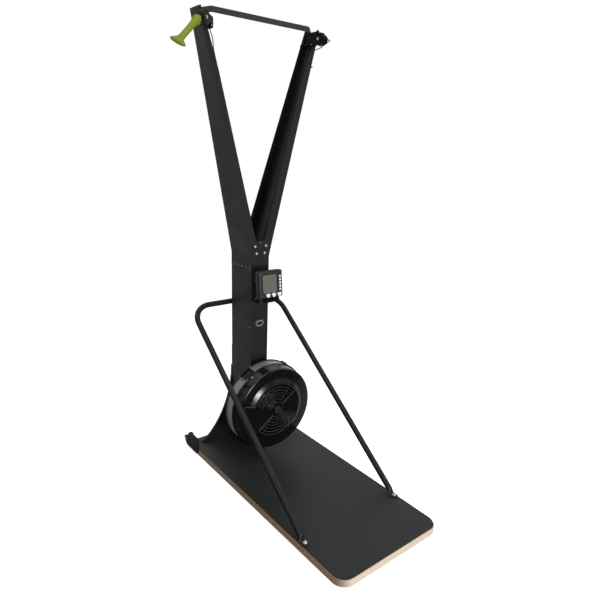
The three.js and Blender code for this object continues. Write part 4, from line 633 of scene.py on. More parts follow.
def draw_bar(stations, section):
    """A bar drawn through stations: each is (place, half width, half height, upward)."""
    shape = bmesh.new()
    rings = []
    for i, (place, wide, high, upward) in enumerate(stations):
        before, after = stations[max(i - 1, 0)][0], stations[min(i + 1, len(stations) - 1)][0]
        along = ((after - place).normalized() + (place - before).normalized()).normalized()
        side = along.cross(upward).normalized()
        top = side.cross(along).normalized()
        rings.append([shape.verts.new((place + side * (u * wide) + top * (v * high)) * MM)
                      for u, v in section])
    return skin(shape, rings)


UP = Vector((0, 0, 1))
BAR_HALF_THICK, BAR_HALF_HIGH = 4, 11
BAR_STRAIGHT, BAR_Y, BAR_Z = 254.1, 387, 2139
BAR_END_X, BAR_END_Y, BAR_END_DROP = 302.6, 432, 10
BAR_BEND, BAR_LAP, BAR_SCREW_IN = 22, 13, 4
bar_section = []
for centre_u, centre_v, start in ((1, 1, 0), (-1, 1, 90), (-1, -1, 180), (1, -1, 270)):
    for k in range(4):
        angle = radians(start + 30 * k)
        bar_section.append((0.45 * centre_u + 0.55 * cos(angle),
                            0.8 * centre_v + 0.2 * sin(angle)))
bar_corners = [(BAR_STRAIGHT, BAR_Y, BAR_Z), (BAR_END_X, BAR_END_Y, BAR_Z - BAR_END_DROP),
               (BAR_END_X, BAR_END_Y + BAR_LAP, BAR_Z - BAR_END_DROP)]
bar_corners = [(-x, y, z) for x, y, z in reversed(bar_corners)] + bar_corners
bar_stations = [(place, BAR_HALF_THICK, BAR_HALF_HIGH, UP)
                for place in rounded_path(bar_corners, BAR_BEND, 10)]
# Painted light: the crossbar's powder coat is a lighter, warmer grey than the rest of the frame.
lit_powder = powder_coat("powder_coat_black_painted_light", "#26251f", "#312f2a")
make_piece("crossbar_rolled", draw_bar(bar_stations, bar_section), lit_powder, "frame",
           "crossbar", sharp=60)
for side, sign in SIDES:
    screw_row(f"crossbar_screw_{side}", domed_head(4.0, 2.2, 1.8, "x", -sign),
              (sign * (BAR_END_X - BAR_HALF_THICK), BAR_END_Y + BAR_SCREW_IN,
               BAR_Z - BAR_END_DROP))


# Brace: one length of 29 mm tube, bent behind the tower and brought down on both sides to the
# board. Its ends are pressed flat over 40 mm, and a bolt holds each one to the board.
BRACE_RADIUS = 14.5
BRACE_FOOT = Vector((281, -345, 70))
BRACE_CORNER = Vector((271, 613, 835))
BRACE_BEND = 105
TAB_HEIGHT, TAB_HALF_WIDTH, TAB_HALF_THICK = 47.8, 18, 3.5
TAB_STRAIGHT, TAB_ROUND = 40, 13.6
tube_section = [(cos(angle), sin(angle)) for angle in whole_turn(32)]
other_side = Vector((-1, 1, 1))
leg = (BRACE_CORNER - BRACE_FOOT).normalized()
leg_normal = Vector((1, 0, 0)).cross(leg).normalized()
brace_path = rounded_path([BRACE_FOOT * other_side, BRACE_CORNER * other_side, BRACE_CORNER,
                           BRACE_FOOT], BRACE_BEND, 16)
brace_stations = [(place, BRACE_RADIUS, BRACE_RADIUS, leg_normal) for place in brace_path]
foot_stations = []
# Each pair: how far ahead of the leg's end, and how far it is pressed flat there.
for ahead, flat in ((3, 0.12), (6, 0.3), (9, 0.52), (12, 0.74), (15, 0.92), (18, 1), (40, 1),
                    (46, 1), (50, 1), (52.4, 1), (53, 1)):
    rounding = sqrt(max(0.0, 1 - (max(0, ahead - TAB_STRAIGHT) / TAB_ROUND) ** 2))
    foot_stations.append((
        Vector((BRACE_FOOT.x, BRACE_FOOT.y - ahead,
                BRACE_FOOT.z + (TAB_HEIGHT - BRACE_FOOT.z) * flat)),
        (BRACE_RADIUS + (TAB_HALF_WIDTH - BRACE_RADIUS) * flat) * rounding,
        BRACE_RADIUS + (TAB_HALF_THICK - BRACE_RADIUS) * flat, UP))
brace_stations = ([(place * other_side, wide, high, upward)
                   for place, wide, high, upward in reversed(foot_stations)]
                  + brace_stations + foot_stations)
make_piece("brace_bent_tube", draw_bar(brace_stations, tube_section), black_powder, "frame",
           "brace_tube", sharp=50)
soft_copy("brace_collar", "brace_saddle", 1.0)
FOOT_BOLT_Y = -381
for side, sign in SIDES:
    bolt = turn([(0, 44.4), (4, 44.4), (4, 51.4), (10.5, 51.4), (10.5, 53), (8, 53), (8, 55.2),
                 (6.9, 57), (4.6, 57.6), (3.6, 57.4), (3.4, 54.2), (0, 54.2)],
                (sign * BRACE_FOOT.x, FOOT_BOLT_Y, 0), "z", 28)
    make_piece(f"brace_foot_bolt_{side}", bolt, zinc, "frame",
               f"foot_bolt_{side}", soften=0.4)


# Fan housing, rear: a steel disc on the column that closes the fan and carries the shaft's
# bearings. It is spun from 3 mm sheet, with a turned rim, and powder coated.
FAN_CENTRE = (0, 0, 338)
BAND_FRONT, BAND_REAR = 285, 338
soft_copy("fan_back_plate", "fan_rear_disc", 1.2)
for which in ("front", "rear"):
    soft_copy(f"bearing_{which}", f"bearing_ring_{which}", 0.5, zinc)


# Fan band: a strip of perforated stainless sheet rolled round the housing, through which the air
# leaves. Its ends stop short of each other at the upper left, where a bracket grips them. The
# holes are drawn at 4.6 mm on a 6.6 mm pitch, coarser than the real ones, so that they show.
BAND_RADIUS, BAND_SHEET = 227, 2
BAND_FROM, BAND_TURN = 131, 342
BAND_ROWS, BAND_COLUMNS = 8, 205
BAND_HOLE = 2.3
row_pitch = (BAND_REAR - BAND_FRONT - 0.6) / BAND_ROWS
column_pitch = radians(BAND_TURN) * BAND_RADIUS / BAND_COLUMNS
strip_tree, start, end = new_tree("perforated_strip", {
    "Columns": "Int", "Rows": "Int", "Column Pitch": "Float", "Row Pitch": "Float",
    "Radius": "Float", "Middle Angle": "Float", "Middle": "Vector", "Finish": "Material"})
spans = [sums(strip_tree, "MULTIPLY", sums(
    strip_tree, "SUBTRACT", start[count], 1), start[pitch])
    for count, pitch in (("Columns", "Column Pitch"), ("Rows", "Row Pitch"))]
grid = add(strip_tree, "GeometryNodeMeshGrid", None, {
    "Size X": spans[0], "Size Y": spans[1], "Vertices X": start["Columns"],
    "Vertices Y": start["Rows"]})
cells = add(strip_tree, "GeometryNodeInstanceOnPoints", None, {
    "Points": grid, "Instance": start["Geometry"]})
sheet_flat = add(strip_tree, "GeometryNodeRealizeInstances", None, {0: cells})
sheet_whole = add(strip_tree, "GeometryNodeMergeByDistance", {"Distance": 0.00002},
                  {"Geometry": sheet_flat})
flat = add(strip_tree, "ShaderNodeSeparateXYZ", None, {
    0: add(strip_tree, "GeometryNodeInputPosition")})
from_middle = sums(strip_tree, "DIVIDE", flat, start["Radius"])
bend = sums(strip_tree, "ADD", from_middle, start["Middle Angle"])
reach = sums(strip_tree, "ADD", start["Radius"], flat.outputs[2])
bent = add(strip_tree, "ShaderNodeCombineXYZ", None, {
    0: sums(strip_tree, "MULTIPLY", reach, sums(strip_tree, "COSINE", bend, 0)),
    1: flat.outputs[1],
    2: sums(strip_tree, "MULTIPLY", reach, sums(strip_tree, "SINE", bend, 0))})
placed = add(strip_tree, "ShaderNodeVectorMath", None, {
    0: bent, 1: start["Middle"]}, operation="ADD")
rolled = add(strip_tree, "GeometryNodeSetPosition", None, {
    "Geometry": sheet_whole, "Position": placed})
close_tree(strip_tree, rolled, start["Finish"], end)

cell = bmesh.new()
levels = []
for height in (BAND_SHEET * MM, 0):
    rim, hole = [], []
    for k in range(8):
        angle = pi * k / 4
        u, v = cos(angle), sin(angle)
        reach_to_rim = 1 / max(abs(u), abs(v))
        rim.append(cell.verts.new((u * reach_to_rim * column_pitch * MM / 2,
                                   v * reach_to_rim * row_pitch * MM / 2, height)))
        hole.append(cell.verts.new((u * BAND_HOLE * MM, v * BAND_HOLE * MM, height)))
    levels.append((rim, hole))
(rim_up, hole_up), (rim_down, hole_down) = levels
for k in range(8):
    on = (k + 1) % 8
    cell.faces.new((rim_up[k], rim_up[on], hole_up[on], hole_up[k]))
    cell.faces.new((rim_down[on], rim_down[k], hole_down[k], hole_down[on]))
    cell.faces.new((hole_up[k], hole_up[on], hole_down[on], hole_down[k]))
cell_mesh = bpy.data.meshes.new("band_cell")
cell.to_mesh(cell_mesh)
cell.free()

# Stainless sheet, brushed: pale, with the brushing running along the strip.
brushed_steel = even_finish("stainless_sheet_brushed", 0.5, 30.0, "#92938f", "#adada8",
                            (0.42, 0.56), 900.0, 0.0001, Metallic=0.7)
band = grow(strip_tree, "fan_band_perforated", cell_mesh, {
    "Columns": BAND_COLUMNS, "Rows": BAND_ROWS, "Column Pitch": column_pitch * MM,
    "Row Pitch": row_pitch * MM, "Radius": BAND_RADIUS * MM,
    "Middle Angle": radians(BAND_FROM + BAND_TURN / 2),
    "Middle": Vector((0, (BAND_FRONT + BAND_REAR) / 2, FAN_CENTRE[2])) * MM,
    "Finish": brushed_steel})
bmesh.ops.remove_doubles(band, verts=band.verts, dist=0.00002)
bmesh.ops.bridge_loops(band, edges=[edge for edge in band.edges if edge.is_boundary])
make_piece("fan_band_perforated", band, brushed_steel, "frame", "fan_band",
           sharp=50)


# Band clamp: the band's ends are flanged outwards and drawn together by a long screw, over a
# bracket of folded sheet. A moulded clip holds the band on its other shoulder.
def arc_strip(inner_radius, outer_radius, low, high, first, last, steps):
    """A strip bent round the fan's axis, between two angles in degrees."""
    shape = bmesh.new()
    rings = []
    for k in range(steps + 1):
        angle = radians(first + (last - first) * k / steps)
        rings.append([shape.verts.new(Vector((
            radius * cos(angle), y, FAN_CENTRE[2] + radius * sin(angle))) * MM)
            for radius, y in ((inner_radius, low), (outer_radius, low), (outer_radius, high),
                              (inner_radius, high))])
    return skin(shape, rings)


def round_the_fan(shape, angle, reach, y):
    """Turns a shape that points along X out from the fan's axis at an angle, and places it."""
    place = (Matrix.Translation(Vector(FAN_CENTRE) * MM)
             @ Matrix.Rotation(-radians(angle), 4, "Y")
             @ Matrix.Translation(Vector((reach, y, 0)) * MM))
    return moved(shape, place)


CLAMP_LOW, CLAMP_HIGH = BAND_FROM, BAND_FROM + BAND_TURN - 360
CLAMP_MIDDLE = (CLAMP_LOW + CLAMP_HIGH) / 2
# Each row: name, finish, two radii, two places along the axis, two angles, and the steps.
for name, finish, *strip in (
    ("band_clamp_bed", black_powder, 217, 222.5, 288, 337, CLAMP_HIGH - 2, CLAMP_LOW + 2, 8),
    ("band_end_flange_low", brushed_steel, 227, 241, 288, 335, CLAMP_LOW - 0.5, CLAMP_LOW, 1),
    ("band_end_flange_high", brushed_steel, 227, 241, 288, 335, CLAMP_HIGH, CLAMP_HIGH + 0.5, 1),
    ("band_shoulder_clip", black_plastic, 229.4, 234.5, 291, 338, 37, 61, 10),
    ("band_shoulder_clip_lip", black_plastic, 229.4, 239.5, 297, 336, 59.6, 61.4, 2),
    ("band_shoulder_clip_heel", black_plastic, 229.4, 237.5, 297, 336, 37, 39, 2),
    ("cover_clamp_lug", black_powder, 222.6, 227.4, 252, 284, CLAMP_MIDDLE - 4,
     CLAMP_MIDDLE + 4, 3),
):
    make_piece(name, arc_strip(*strip), finish, "frame", soften=0.5)
clamp_screw = turn([(0, -38), (5.5, -38), (6.5, -37), (6.5, -33.5), (3, -33.5), (3, 33.5),
                    (6, 33.5), (6, 38), (0, 38)], (0, 0, 0), "z", 20)
CLAMP_SCREW_AT, LUG_SCREW_AT = (231, 312), (227.4, 266)
make_piece("band_clamp_screw", round_the_fan(clamp_screw, CLAMP_MIDDLE, *CLAMP_SCREW_AT),
           black_powder, "frame", sharp=40)
cover_screw = shape_of(domed_head(5.4, 3.6, 2.4, "x", 1))
make_piece("cover_clamp_screw", round_the_fan(cover_screw, CLAMP_MIDDLE, *LUG_SCREW_AT), zinc,
           "frame", sharp=30)


# Fan cover: one moulding of gloss black ABS over the fan's front. A raised cone leads into the
# grille, and a narrow flange at its rear meets the band.
# Gloss ABS: deep black with a hard highlight, and hairline scratches that dull it in patches.
gloss_plastic = even_finish("abs_black_gloss", 0.45,
                            14.0, "#08090a", "#0d0f10", (0.12, 0.22), 900.0, 0.00004)
cover_profile = [
    (231, 285), (231, 283.2), (227.4, 282.6), (226, 280), (223.4, 234), (222.6, 229.2),
    (220.4, 226.2), (217, 225), (173, 225), (170, 224.2), (149, 215.6), (147, 215), (144.2, 215),
    (144.2, 218), (147, 218.4), (170, 227.6), (217, 228), (220, 231), (223, 285)]
make_piece("fan_cover_moulded", turn(cover_profile, FAN_CENTRE, "y", 144, ring=True),
           gloss_plastic, "frame", "fan_cover", sharp=50)


# Grille: concentric wires on four spokes, moulded in one with the hub plate. It keeps fingers from
# the flywheel. Behind it, a short ring of near-black plastic stands in the housing as painted shade
# and hides the lit inside.
# Satin ABS: a dark grey for the hub and the spokes.
satin_plastic = even_finish("abs_dark_satin", 0.45,
                            20.0, "#131518", "#1c1e22", (0.3, 0.4), 900.0, 0.00005)
# The same ABS, smoother on thin parts and painted a lighter grey: a painted highlight along each
# wire, rib and pad.
highlight_plastic = even_finish("abs_satin_painted_highlight", 0.6,
                          20.0, "#3a3d41", "#4a4d52", (0.22, 0.3), 900.0, 0.00005)
GRILLE_FRONT = 215.3
WIRE_RADIUS = 1.25
RING_COUNT, INNER_RING, RING_STEP = 7, 41.3, 16.85
ring_tree, start, end = new_tree("grille_rings", {
    "Rings": "Int", "Inner Radius": "Float", "Step": "Float", "Wire Radius": "Float",
    "Middle": "Vector", "Finish": "Material"})
places = add(ring_tree, "GeometryNodeMeshLine", {"Offset": (0, 0, 0)},
             {"Count": start["Rings"]}, mode="OFFSET")
circle = add(ring_tree, "GeometryNodeCurvePrimitiveCircle", {"Resolution": 112, "Radius": 1.0})
number = add(ring_tree, "GeometryNodeInputIndex")
size = sums(ring_tree, "ADD", sums(ring_tree, "MULTIPLY", number,
                                   start["Step"]), start["Inner Radius"])
rings = add(ring_tree, "GeometryNodeInstanceOnPoints", None, {
    "Points": places, "Instance": circle, "Scale": size})
lines = add(ring_tree, "GeometryNodeRealizeInstances", None, {0: rings})
even = add(ring_tree, "GeometryNodeSetCurveRadius", {"Radius": 1.0}, {0: lines})
wire = add(ring_tree, "GeometryNodeCurvePrimitiveCircle", {"Resolution": 10},
           {"Radius": start["Wire Radius"]})
round_wire = add(ring_tree, "GeometryNodeCurveToMesh", None, {
    "Curve": even, "Profile Curve": wire})
upright = add(ring_tree, "GeometryNodeTransform", {"Rotation": (pi / 2, 0, 0)}, {
    "Geometry": round_wire, "Translation": start["Middle"]})
close_tree(ring_tree, upright, start["Finish"], end)
# The wires are in the lighter ABS: a painted highlight along each ring.
grille = grow(ring_tree, "grille_rings", bpy.data.meshes.new("empty"), {
    "Rings": RING_COUNT, "Inner Radius": INNER_RING * MM, "Step": RING_STEP * MM,
    "Wire Radius": WIRE_RADIUS * MM,
    "Middle": Vector((0, GRILLE_FRONT + WIRE_RADIUS, FAN_CENTRE[2])) * MM,
    "Finish": highlight_plastic})
make_piece("grille_wires", grille, highlight_plastic, "frame", "fan_grille",
           sharp=60)
SPOKE_ANGLES = (0, 55, 180, 235)
SPOKE_ENDS = (12, 143)
SPOKE_SECTION = ((-2, 217), (2, 217), (1.6, 219.6), (-1.6, 219.6))
spokes = bmesh.new()
for angle in SPOKE_ANGLES:
    u, v = cos(radians(angle)), sin(radians(angle))
    out, across_spoke = Vector((u, 0, v)), Vector((-v, 0, u))
    skin(spokes, [[spokes.verts.new((out * reach + across_spoke * width
                                     + Vector((0, y, FAN_CENTRE[2]))) * MM)
                   for width, y in SPOKE_SECTION] for reach in SPOKE_ENDS])
make_piece("grille_spokes", spokes, satin_plastic, "frame", soften=0.4)
hub = turn([(0, 203), (8.6, 203), (10.2, 203.6), (11, 205.2), (11, 214.4), (17.6, 214.4),
            (19, 215.8), (19, 219.6), (0, 219.6)], FAN_CENTRE, "y", 48)
make_piece("grille_hub", hub, satin_plastic, "frame", soften=0.3)
# Moulded ABS, coarse texture, near black with little sheen: painted shade, so that the ring in the
# fan reads as a hole and the inside of the monitor bracket box reads as shadow.
shade_black_plastic = even_finish("abs_black_painted_shade", 0.08,
                           18.0, "#060608", "#0b0b0d", (0.6, 0.75), 800.0, 0.0003)
shade_ring = turn([(141.4, 221), (146, 221), (143, 243), (139, 245), (137.6, 243.6)], FAN_CENTRE, "y",
              96, ring=True)
make_piece("fan_shade_ring", shade_ring, shade_black_plastic, "frame", sharp=50)


# Damper: a lever of moulded sheet with two wings, which turns on the hub and covers more or less
# of the grille to set the resistance. The user moves it by the tab at its rim.
soft_copy("damper_lever", "damper_wings", 0.7, gloss_plastic, body="damper")
# Each wing has a thin rib along one straight edge, the tab has a thumb pad, and a cap over the eye
# keeps the lever on. The ribs and the pad are painted lighter, as a painted highlight.
DAMPER_FRONT = 209
RIB_ANGLES = (("low", 218), ("high", 38))
RIB_FROM, RIB_TO = 36, 140
RIB_RISE, RIB_ROOT, RIB_CREST = 2.6, 3.0, 1.6
for which, angle in RIB_ANGLES:
    rib = bmesh.new()
    bmesh.ops.create_cube(rib, size=1.0)
    for corner in rib.verts:
        width = RIB_CREST if corner.co.y < 0 else RIB_ROOT
        corner.co = Vector(((corner.co.x + 0.5) * (RIB_TO - RIB_FROM), corner.co.y * RIB_RISE,
                            corner.co.z * width)) * MM
    round_the_fan(rib, angle, RIB_FROM, DAMPER_FRONT - RIB_RISE / 2)
    make_piece(f"damper_rib_{which}", rib, highlight_plastic, "damper", sharp=30)
TAB_ANGLE, TAB_REACH, TAB_Y, TAB_OVER = 161, 186, 203.6, 7.7
PAD_SIZE = (54, 9.4, 1.4)
tab_pad = bmesh.new()
bmesh.ops.create_cube(tab_pad, size=1.0)
bmesh.ops.scale(tab_pad, vec=Vector(PAD_SIZE) * MM, verts=tab_pad.verts)
bmesh.ops.translate(tab_pad, vec=Vector((0, 0, -TAB_OVER)) * MM, verts=tab_pad.verts)
round_the_fan(tab_pad, TAB_ANGLE, TAB_REACH, TAB_Y)
make_piece("damper_tab_pad", tab_pad, highlight_plastic, "damper", soften=0.6)
cap_profile = [(0, 198.6), (19, 198.6), (22, 199.6), (23, 201.6), (23, 203), (0, 203)]
make_piece("grille_hub_cap", turn(cap_profile, FAN_CENTRE, "y", 8), satin_plastic, "frame",
           soften=0.6)


# Flywheel, shaft and drums: an aluminium casting with twenty blades on a ground steel shaft, and
# two cord drums on one-way clutches inside the column.
# Die-cast aluminium, dark coated: dull, grainy and uneven.
cast_metal = even_finish("aluminium_cast_dark", 0.5, 40.0, "#070708", "#0d0d0e", (0.5, 0.7),
                         700.0, 0.0003, Metallic=0.4)
for rotor_part, finish in (("flywheel", cast_metal), ("flywheel_shaft", zinc),
                           ("cord_drum_left", cast_metal), ("cord_drum_right", cast_metal)):
    dress(rotor_part, finish)


# Swivels: a welded bracket in each arm top holds a bush, in which the pulley's hollow stem turns.
# The pulley is a moulded sheave between two pressed cheeks, on a plated pin.
SWIVEL_X, SWIVEL_Y, WHEEL_Z = 262.02, 388, 2091
WHEEL_AHEAD = 79
BRACKET_SCREW = (283, 409.9, 2095)
BOSS_HALF, BOSS_MIDDLE = 14.9, 2078
YOKE_TURN = {"left": -47, "right": 0}


def yoke_matrix(side):
    """From the yoke's own frame, its stem at x 0 and y 0, to the machine's."""
    sign = -1 if side == "left" else 1
    place = Matrix.Translation((sign * SWIVEL_X * MM, SWIVEL_Y * MM, 0))
    return place @ Matrix.Rotation(radians(YOKE_TURN[side]), 4, "Z")


# Black paint on pressed steel, deeper and duller than the powder coat: painted shade, for the shade
# in the arm tops where the swivels sit.
shade_black_paint = even_finish("black_paint_painted_shade", 0.08,
                          22.0, "#050506", "#0a0a0b", (0.5, 0.64), 700.0, 0.0002)
for side, sign in SIDES:
    soft_copy(f"swivel_bracket_{side}", f"swivel_bracket_welded_{side}", 0.9, shade_black_paint)
    soft_copy(f"pulley_yoke_{side}", f"pulley_cheeks_{side}", 0.7, shade_black_paint, body=f"yoke_{side}")
    pin = turn([(0, -17), (4.6, -17), (6.6, -16.2), (7, -14.6), (7, -13.3), (4, -13.3),
                (4, 13.3), (7, 13.3), (7, 14.6), (6.6, 16.2), (4.6, 17), (0, 17)],
               (0, -WHEEL_AHEAD, WHEEL_Z), "x", 28)
    sheave = turn([(4.3, -8), (11, -8), (12, -5.5), (20, -5.5), (22, -8), (25.2, -8), (26, -7.2),
                   (26, -6), (23.5, -4.6), (19.9, -2.2), (19.7, 0), (19.9, 2.2), (23.5, 4.6),
                   (26, 6), (26, 7.2), (25.2, 8), (22, 8), (20, 5.5), (12, 5.5), (11, 8),
                   (4.3, 8)], (0, -WHEEL_AHEAD, WHEEL_Z), "x", 56, ring=True)
    for shape in (pin, sheave):
        moved(shape, yoke_matrix(side))
    make_piece(f"pulley_pin_{side}", pin, zinc, f"yoke_{side}",
               f"pulley_axle_{side}", sharp=40)
    make_piece(f"pulley_sheave_{side}", sheave, black_plastic, f"pulley_{side}",
               f"pulley_wheel_{side}", sharp=40)
    screw_row(f"swivel_screw_{side}", domed_head(5.2, 3.0, 2.4, "y", -1),
              (sign * BRACKET_SCREW[0], *BRACKET_SCREW[1:]))
    screw_row(f"bush_screw_{side}", domed_head(3.4, 2.2, 1.6, "y", -1),
              (sign * SWIVEL_X, SWIVEL_Y - BOSS_HALF, BOSS_MIDDLE))


# Handles: one moulding each, with a bulb at the cord end, a slim round grip and a wide foot that
# the hand rests on. The left one hangs short of its pulley, the right one is parked in its hook.
# Soft lime TPE over a hard core: matt, slightly waxy, a little darker where hands have been.
lime_grip = even_finish("tpe_lime_grip", 0.2, 16.0, "#5e6d10", "#798a1a", (0.5, 0.68), 600.0,
                        0.0004, Subsurface_Weight=0.08, Subsurface_Scale=0.004)
BULB_RADIUS, HANDLE_LENGTH = 17.5, 170
# Each row: share of the length, half the width and half the thickness.
handle_table = [
    (0.0, 2.6, 2.6), (0.01, 6.4, 6.4), (0.03, 9.8, 9.8), (0.07, 14.7, 14.7), (0.125, 17.5, 17.5),
    (0.19, 16.8, 16.8), (0.25, 14, 14), (0.3, 12.8, 12.8), (0.35, 12.4, 12.4),
    (0.5, 12, 12), (0.62, 11.7, 11.7), (0.72, 11.6, 11.6), (0.82, 12.6, 11.4),
    (0.88, 16.9, 10.8), (0.92, 25.9, 9.4), (0.955, 32, 8.5), (0.985, 31.6, 8.4), (1.0, 27.5, 6.6)]


def between(table, share):
    """The table's row at a share of the length, eased between its neighbours."""
    for low, high in zip(table, table[1:]):
        if share <= high[0]:
            part = (share - low[0]) / (high[0] - low[0])
            part = part * part * (3 - 2 * part) * 0.5 + part * 0.5
            return [a + (b - a) * part for a, b in zip(low[1:], high[1:])]
    return table[-1][1:]


handle_shares = sorted({k / 40 for k in range(41)} | {row[0] for row in handle_table})
# The left handle hangs from its bulb: it is turned to its side, tipped up and twisted. The right
# one stands in the hook, along the arm.
LEFT_BULB = (-373.02, 284, 2069)
LEFT_TURNS = ((-68, "Z"), (-50.4, "X"), (126, "Z"))
ARM_RUN, ARM_RISE = 263.5, 1025
HOOK_UP, HOOK_Y, HOOK_Z = 885, 442, 2001
PARKED_BULB = (19.5, 0, 36.8)
left_place = Matrix.Translation(Vector(LEFT_BULB) * MM)
for angle, axis in LEFT_TURNS:
    left_place = left_place @ Matrix.Rotation(radians(angle), 4, axis)
hook_foot = Vector((COLUMN_HALF + ARM_RUN * HOOK_UP / ARM_RISE, HOOK_Y, HOOK_Z))
hook_place = (Matrix.Translation(hook_foot * MM)
              @ Matrix.Rotation(atan2(ARM_RUN, ARM_RISE), 4, "Y"))
handle_places = {"left": left_place,
                 "right": hook_place @ Matrix.Translation(Vector(PARKED_BULB) * MM)}
for side in ("left", "right"):
    stations = []
    for share in handle_shares:
        wide, high = between(handle_table, share)
        stations.append((Vector((0, 0, BULB_RADIUS - HANDLE_LENGTH * share)), wide, high,
                         Vector((1, 0, 0))))
    shape = moved(draw_bar(stations, tube_section), handle_places[side])
    make_piece(f"handle_grip_{side}", shape, lime_grip, f"handle_{side}",
               f"handle_{side}", sharp=75)

# Handle hook: a forked tab of 4 mm sheet, welded to the right arm's outer face.
soft_copy("handle_hook_right", "handle_fork", 0.8)


# Cords: 4 mm braided polyester. Each handle's cord runs over its pulley, down the hollow stem and
# along the arm to a drum in the column.
# Braided polyester: dull black, its strands crossing every 3 mm, drawn a little coarse.
black_cord, tree, shader = new_finish("polyester_cord_braided", {"Specular IOR Level": 0.25})
mottle(tree, shader, 300.0, "#0f0f0f", "#1c1c1c", (0.7, 0.85), 1500.0, 0.0001)
along_cord = add(tree, "ShaderNodeUVMap", uv_map="UVMap")
strands = [add(tree, "ShaderNodeTexWave", {"Scale": 1.0}, {"Vector": add(
    tree, "ShaderNodeVectorMath", {1: (side * 4.0, 105.0, 0)}, {0: along_cord},
    operation="MULTIPLY")}, bands_direction="DIAGONAL") for side in (1, -1)]
braid = sums(tree, "MAXIMUM", strands[0].outputs["Fac"], strands[1].outputs["Fac"])
raised = add(tree, "ShaderNodeBump", {"Strength": 0.6, "Distance": 0.0003}, {"Height": braid})
link(tree, raised, shader.inputs["Normal"])
CORD_RADIUS = 2


def close_points(path, spacing):
    """The path with further points, no more than a spacing apart."""
    points = [path[0]]
    for before, after in zip(path, path[1:]):
        parts = max(1, ceil((after - before).length / spacing))
        points += [before.lerp(after, k / parts) for k in range(1, parts + 1)]
    return points


def cord_tube(name, path, body):
    """A round cord along a path, with a UV map that runs round and along it."""
    sides = 10
    shape = bmesh.new()
    layer = shape.loops.layers.uv.new("UVMap")
    rings, run = [], []
    along = (path[1] - path[0]).normalized()
    side = along.orthogonal().normalized()
    for i, place in enumerate(path):
        before, after = path[max(i - 1, 0)], path[min(i + 1, len(path) - 1)]
        tangent = (after - before).normalized()
        side = along.rotation_difference(tangent) @ side
        along = tangent
        top = along.cross(side)
        rings.append([shape.verts.new((place + (side * cos(angle) + top * sin(angle))
                                       * CORD_RADIUS) * MM)
                      for angle in whole_turn(sides)])
        run.append((place - path[i - 1]).length * MM + run[-1] if i else 0.0)
    for i, (low, high) in enumerate(zip(rings, rings[1:])):
        for k in range(sides):
            on = (k + 1) % sides
            face = shape.faces.new((low[k], low[on], high[on], high[k]))
            corners = ((k, i), (k + 1, i), (k + 1, i + 1), (k, i + 1))
            for loop, (around, station) in zip(face.loops, corners):
                loop[layer].uv = (around / sides, run[station])
    shape.faces.new(rings[0])
    shape.faces.new(rings[-1])
    return make_piece(name, shape, black_cord, body, sharp=60)


STEM_TOP = 2088.3
GROOVE_RADIUS = 22
CORD_LEAVES = radians(169)
rise = WHEEL_Z - STEM_TOP
climb = atan2(rise, WHEEL_AHEAD) + asin(GROOVE_RADIUS / hypot(WHEEL_AHEAD, rise))
meets = pi / 2 - climb
wrap = [meets + (CORD_LEAVES - meets) * k / 16 for k in range(17)]
over_pulley = [Vector((0, 0, STEM_TOP)), Vector((0, -1, STEM_TOP + 3))] + [
    Vector((0, GROOVE_RADIUS * cos(angle) - WHEEL_AHEAD,
            WHEEL_Z + GROOVE_RADIUS * sin(angle))) for angle in wrap]


def in_machine(side, points):
    """Points of a yoke's own frame, in millimetres of the machine's."""
    return [yoke_matrix(side) @ (point * MM) / MM for point in points]


def handle_point(side, x, y, z):
    """A point of a handle's own frame, in millimetres of the machine's."""
    return handle_places[side] @ (Vector((x, y, z)) * MM) / MM


def into_bulb(side):
    """The end of a handle's cord: a point ahead of the bulb, and one just inside it."""
    return [handle_point(side, 0, 0, BULB_RADIUS + ahead) for ahead in (5, -0.5)]


left_run = in_machine("left", over_pulley)
left_free = close_points([left_run[-1], *into_bulb("left")], 2.5)
cord_tube("pull_cord_on_pulley_left", left_run, "yoke_left")
piece = cord_tube("pull_cord_free_left", left_free, None)
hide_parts("pull_cord_left")
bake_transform(piece)

# The parked cord's points, from the middle of the right wheel.
PARKED_CORD = [(0, -33, -4), (1, -40, -6), (5, -46, -8), (12, -48, -9), (19, -43, -10),
               (24, -29, -11), (36, 11, -17), (47, 56, -24), (54, 96, -27)]
right_wheel = Vector((SWIVEL_X, SWIVEL_Y - WHEEL_AHEAD, WHEEL_Z))
parked = [right_wheel + Vector(offset) for offset in PARKED_CORD]
right_run = in_machine("right", over_pulley) + parked[:2]
loop_free = close_points(rounded_path(parked[1:], 6, 4), 2.5)
above_bulb = handle_point("right", 0, -BULB_RADIUS / 2, 2 * BULB_RADIUS)
hook_free = close_points(
    rounded_path([parked[-1], above_bulb, *into_bulb("right")], 4, 4), 5)
cord_tube("pull_cord_on_pulley_right", right_run, "yoke_right")
loop_piece = cord_tube("pull_cord_loop_right", loop_free, None)
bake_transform(loop_piece)
piece = cord_tube("pull_cord_free_right", hook_free, None)
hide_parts("pull_cord_right")
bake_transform(piece)

STEM_FOOT = 2067
DRUM_RADIUS = 26
DRUM_MIDDLE = {"left": 443, "right": 465.3}
for side, sign in SIDES:
    drum_y = DRUM_MIDDLE[side]
    down_the_arm = [Vector(point) for point in (
        (sign * SWIVEL_X, SWIVEL_Y, STEM_TOP), (sign * SWIVEL_X, SWIVEL_Y, STEM_FOOT),
        (sign * 248, 390, 2040), (sign * 242, 392, 1994), (sign * 222, 394, 1927),
        (sign * 210, 398, 1847), (sign * 58, 430, 1215), (sign * 30, drum_y, 1080),
        (-DRUM_RADIUS, drum_y, 900))]
    onto_drum = [Vector((-DRUM_RADIUS * cos(angle), drum_y,
                         FAN_CENTRE[2] - DRUM_RADIUS * sin(angle)))
                 for angle in (1.5 * pi * k / 24 for k in range(25))]
    route = rounded_path(down_the_arm + onto_drum[:1], 12, 4)[:-1] + onto_drum
    piece = cord_tube(f"drive_cord_run_{side}", route, "frame")
    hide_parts(f"drive_cord_{side}")
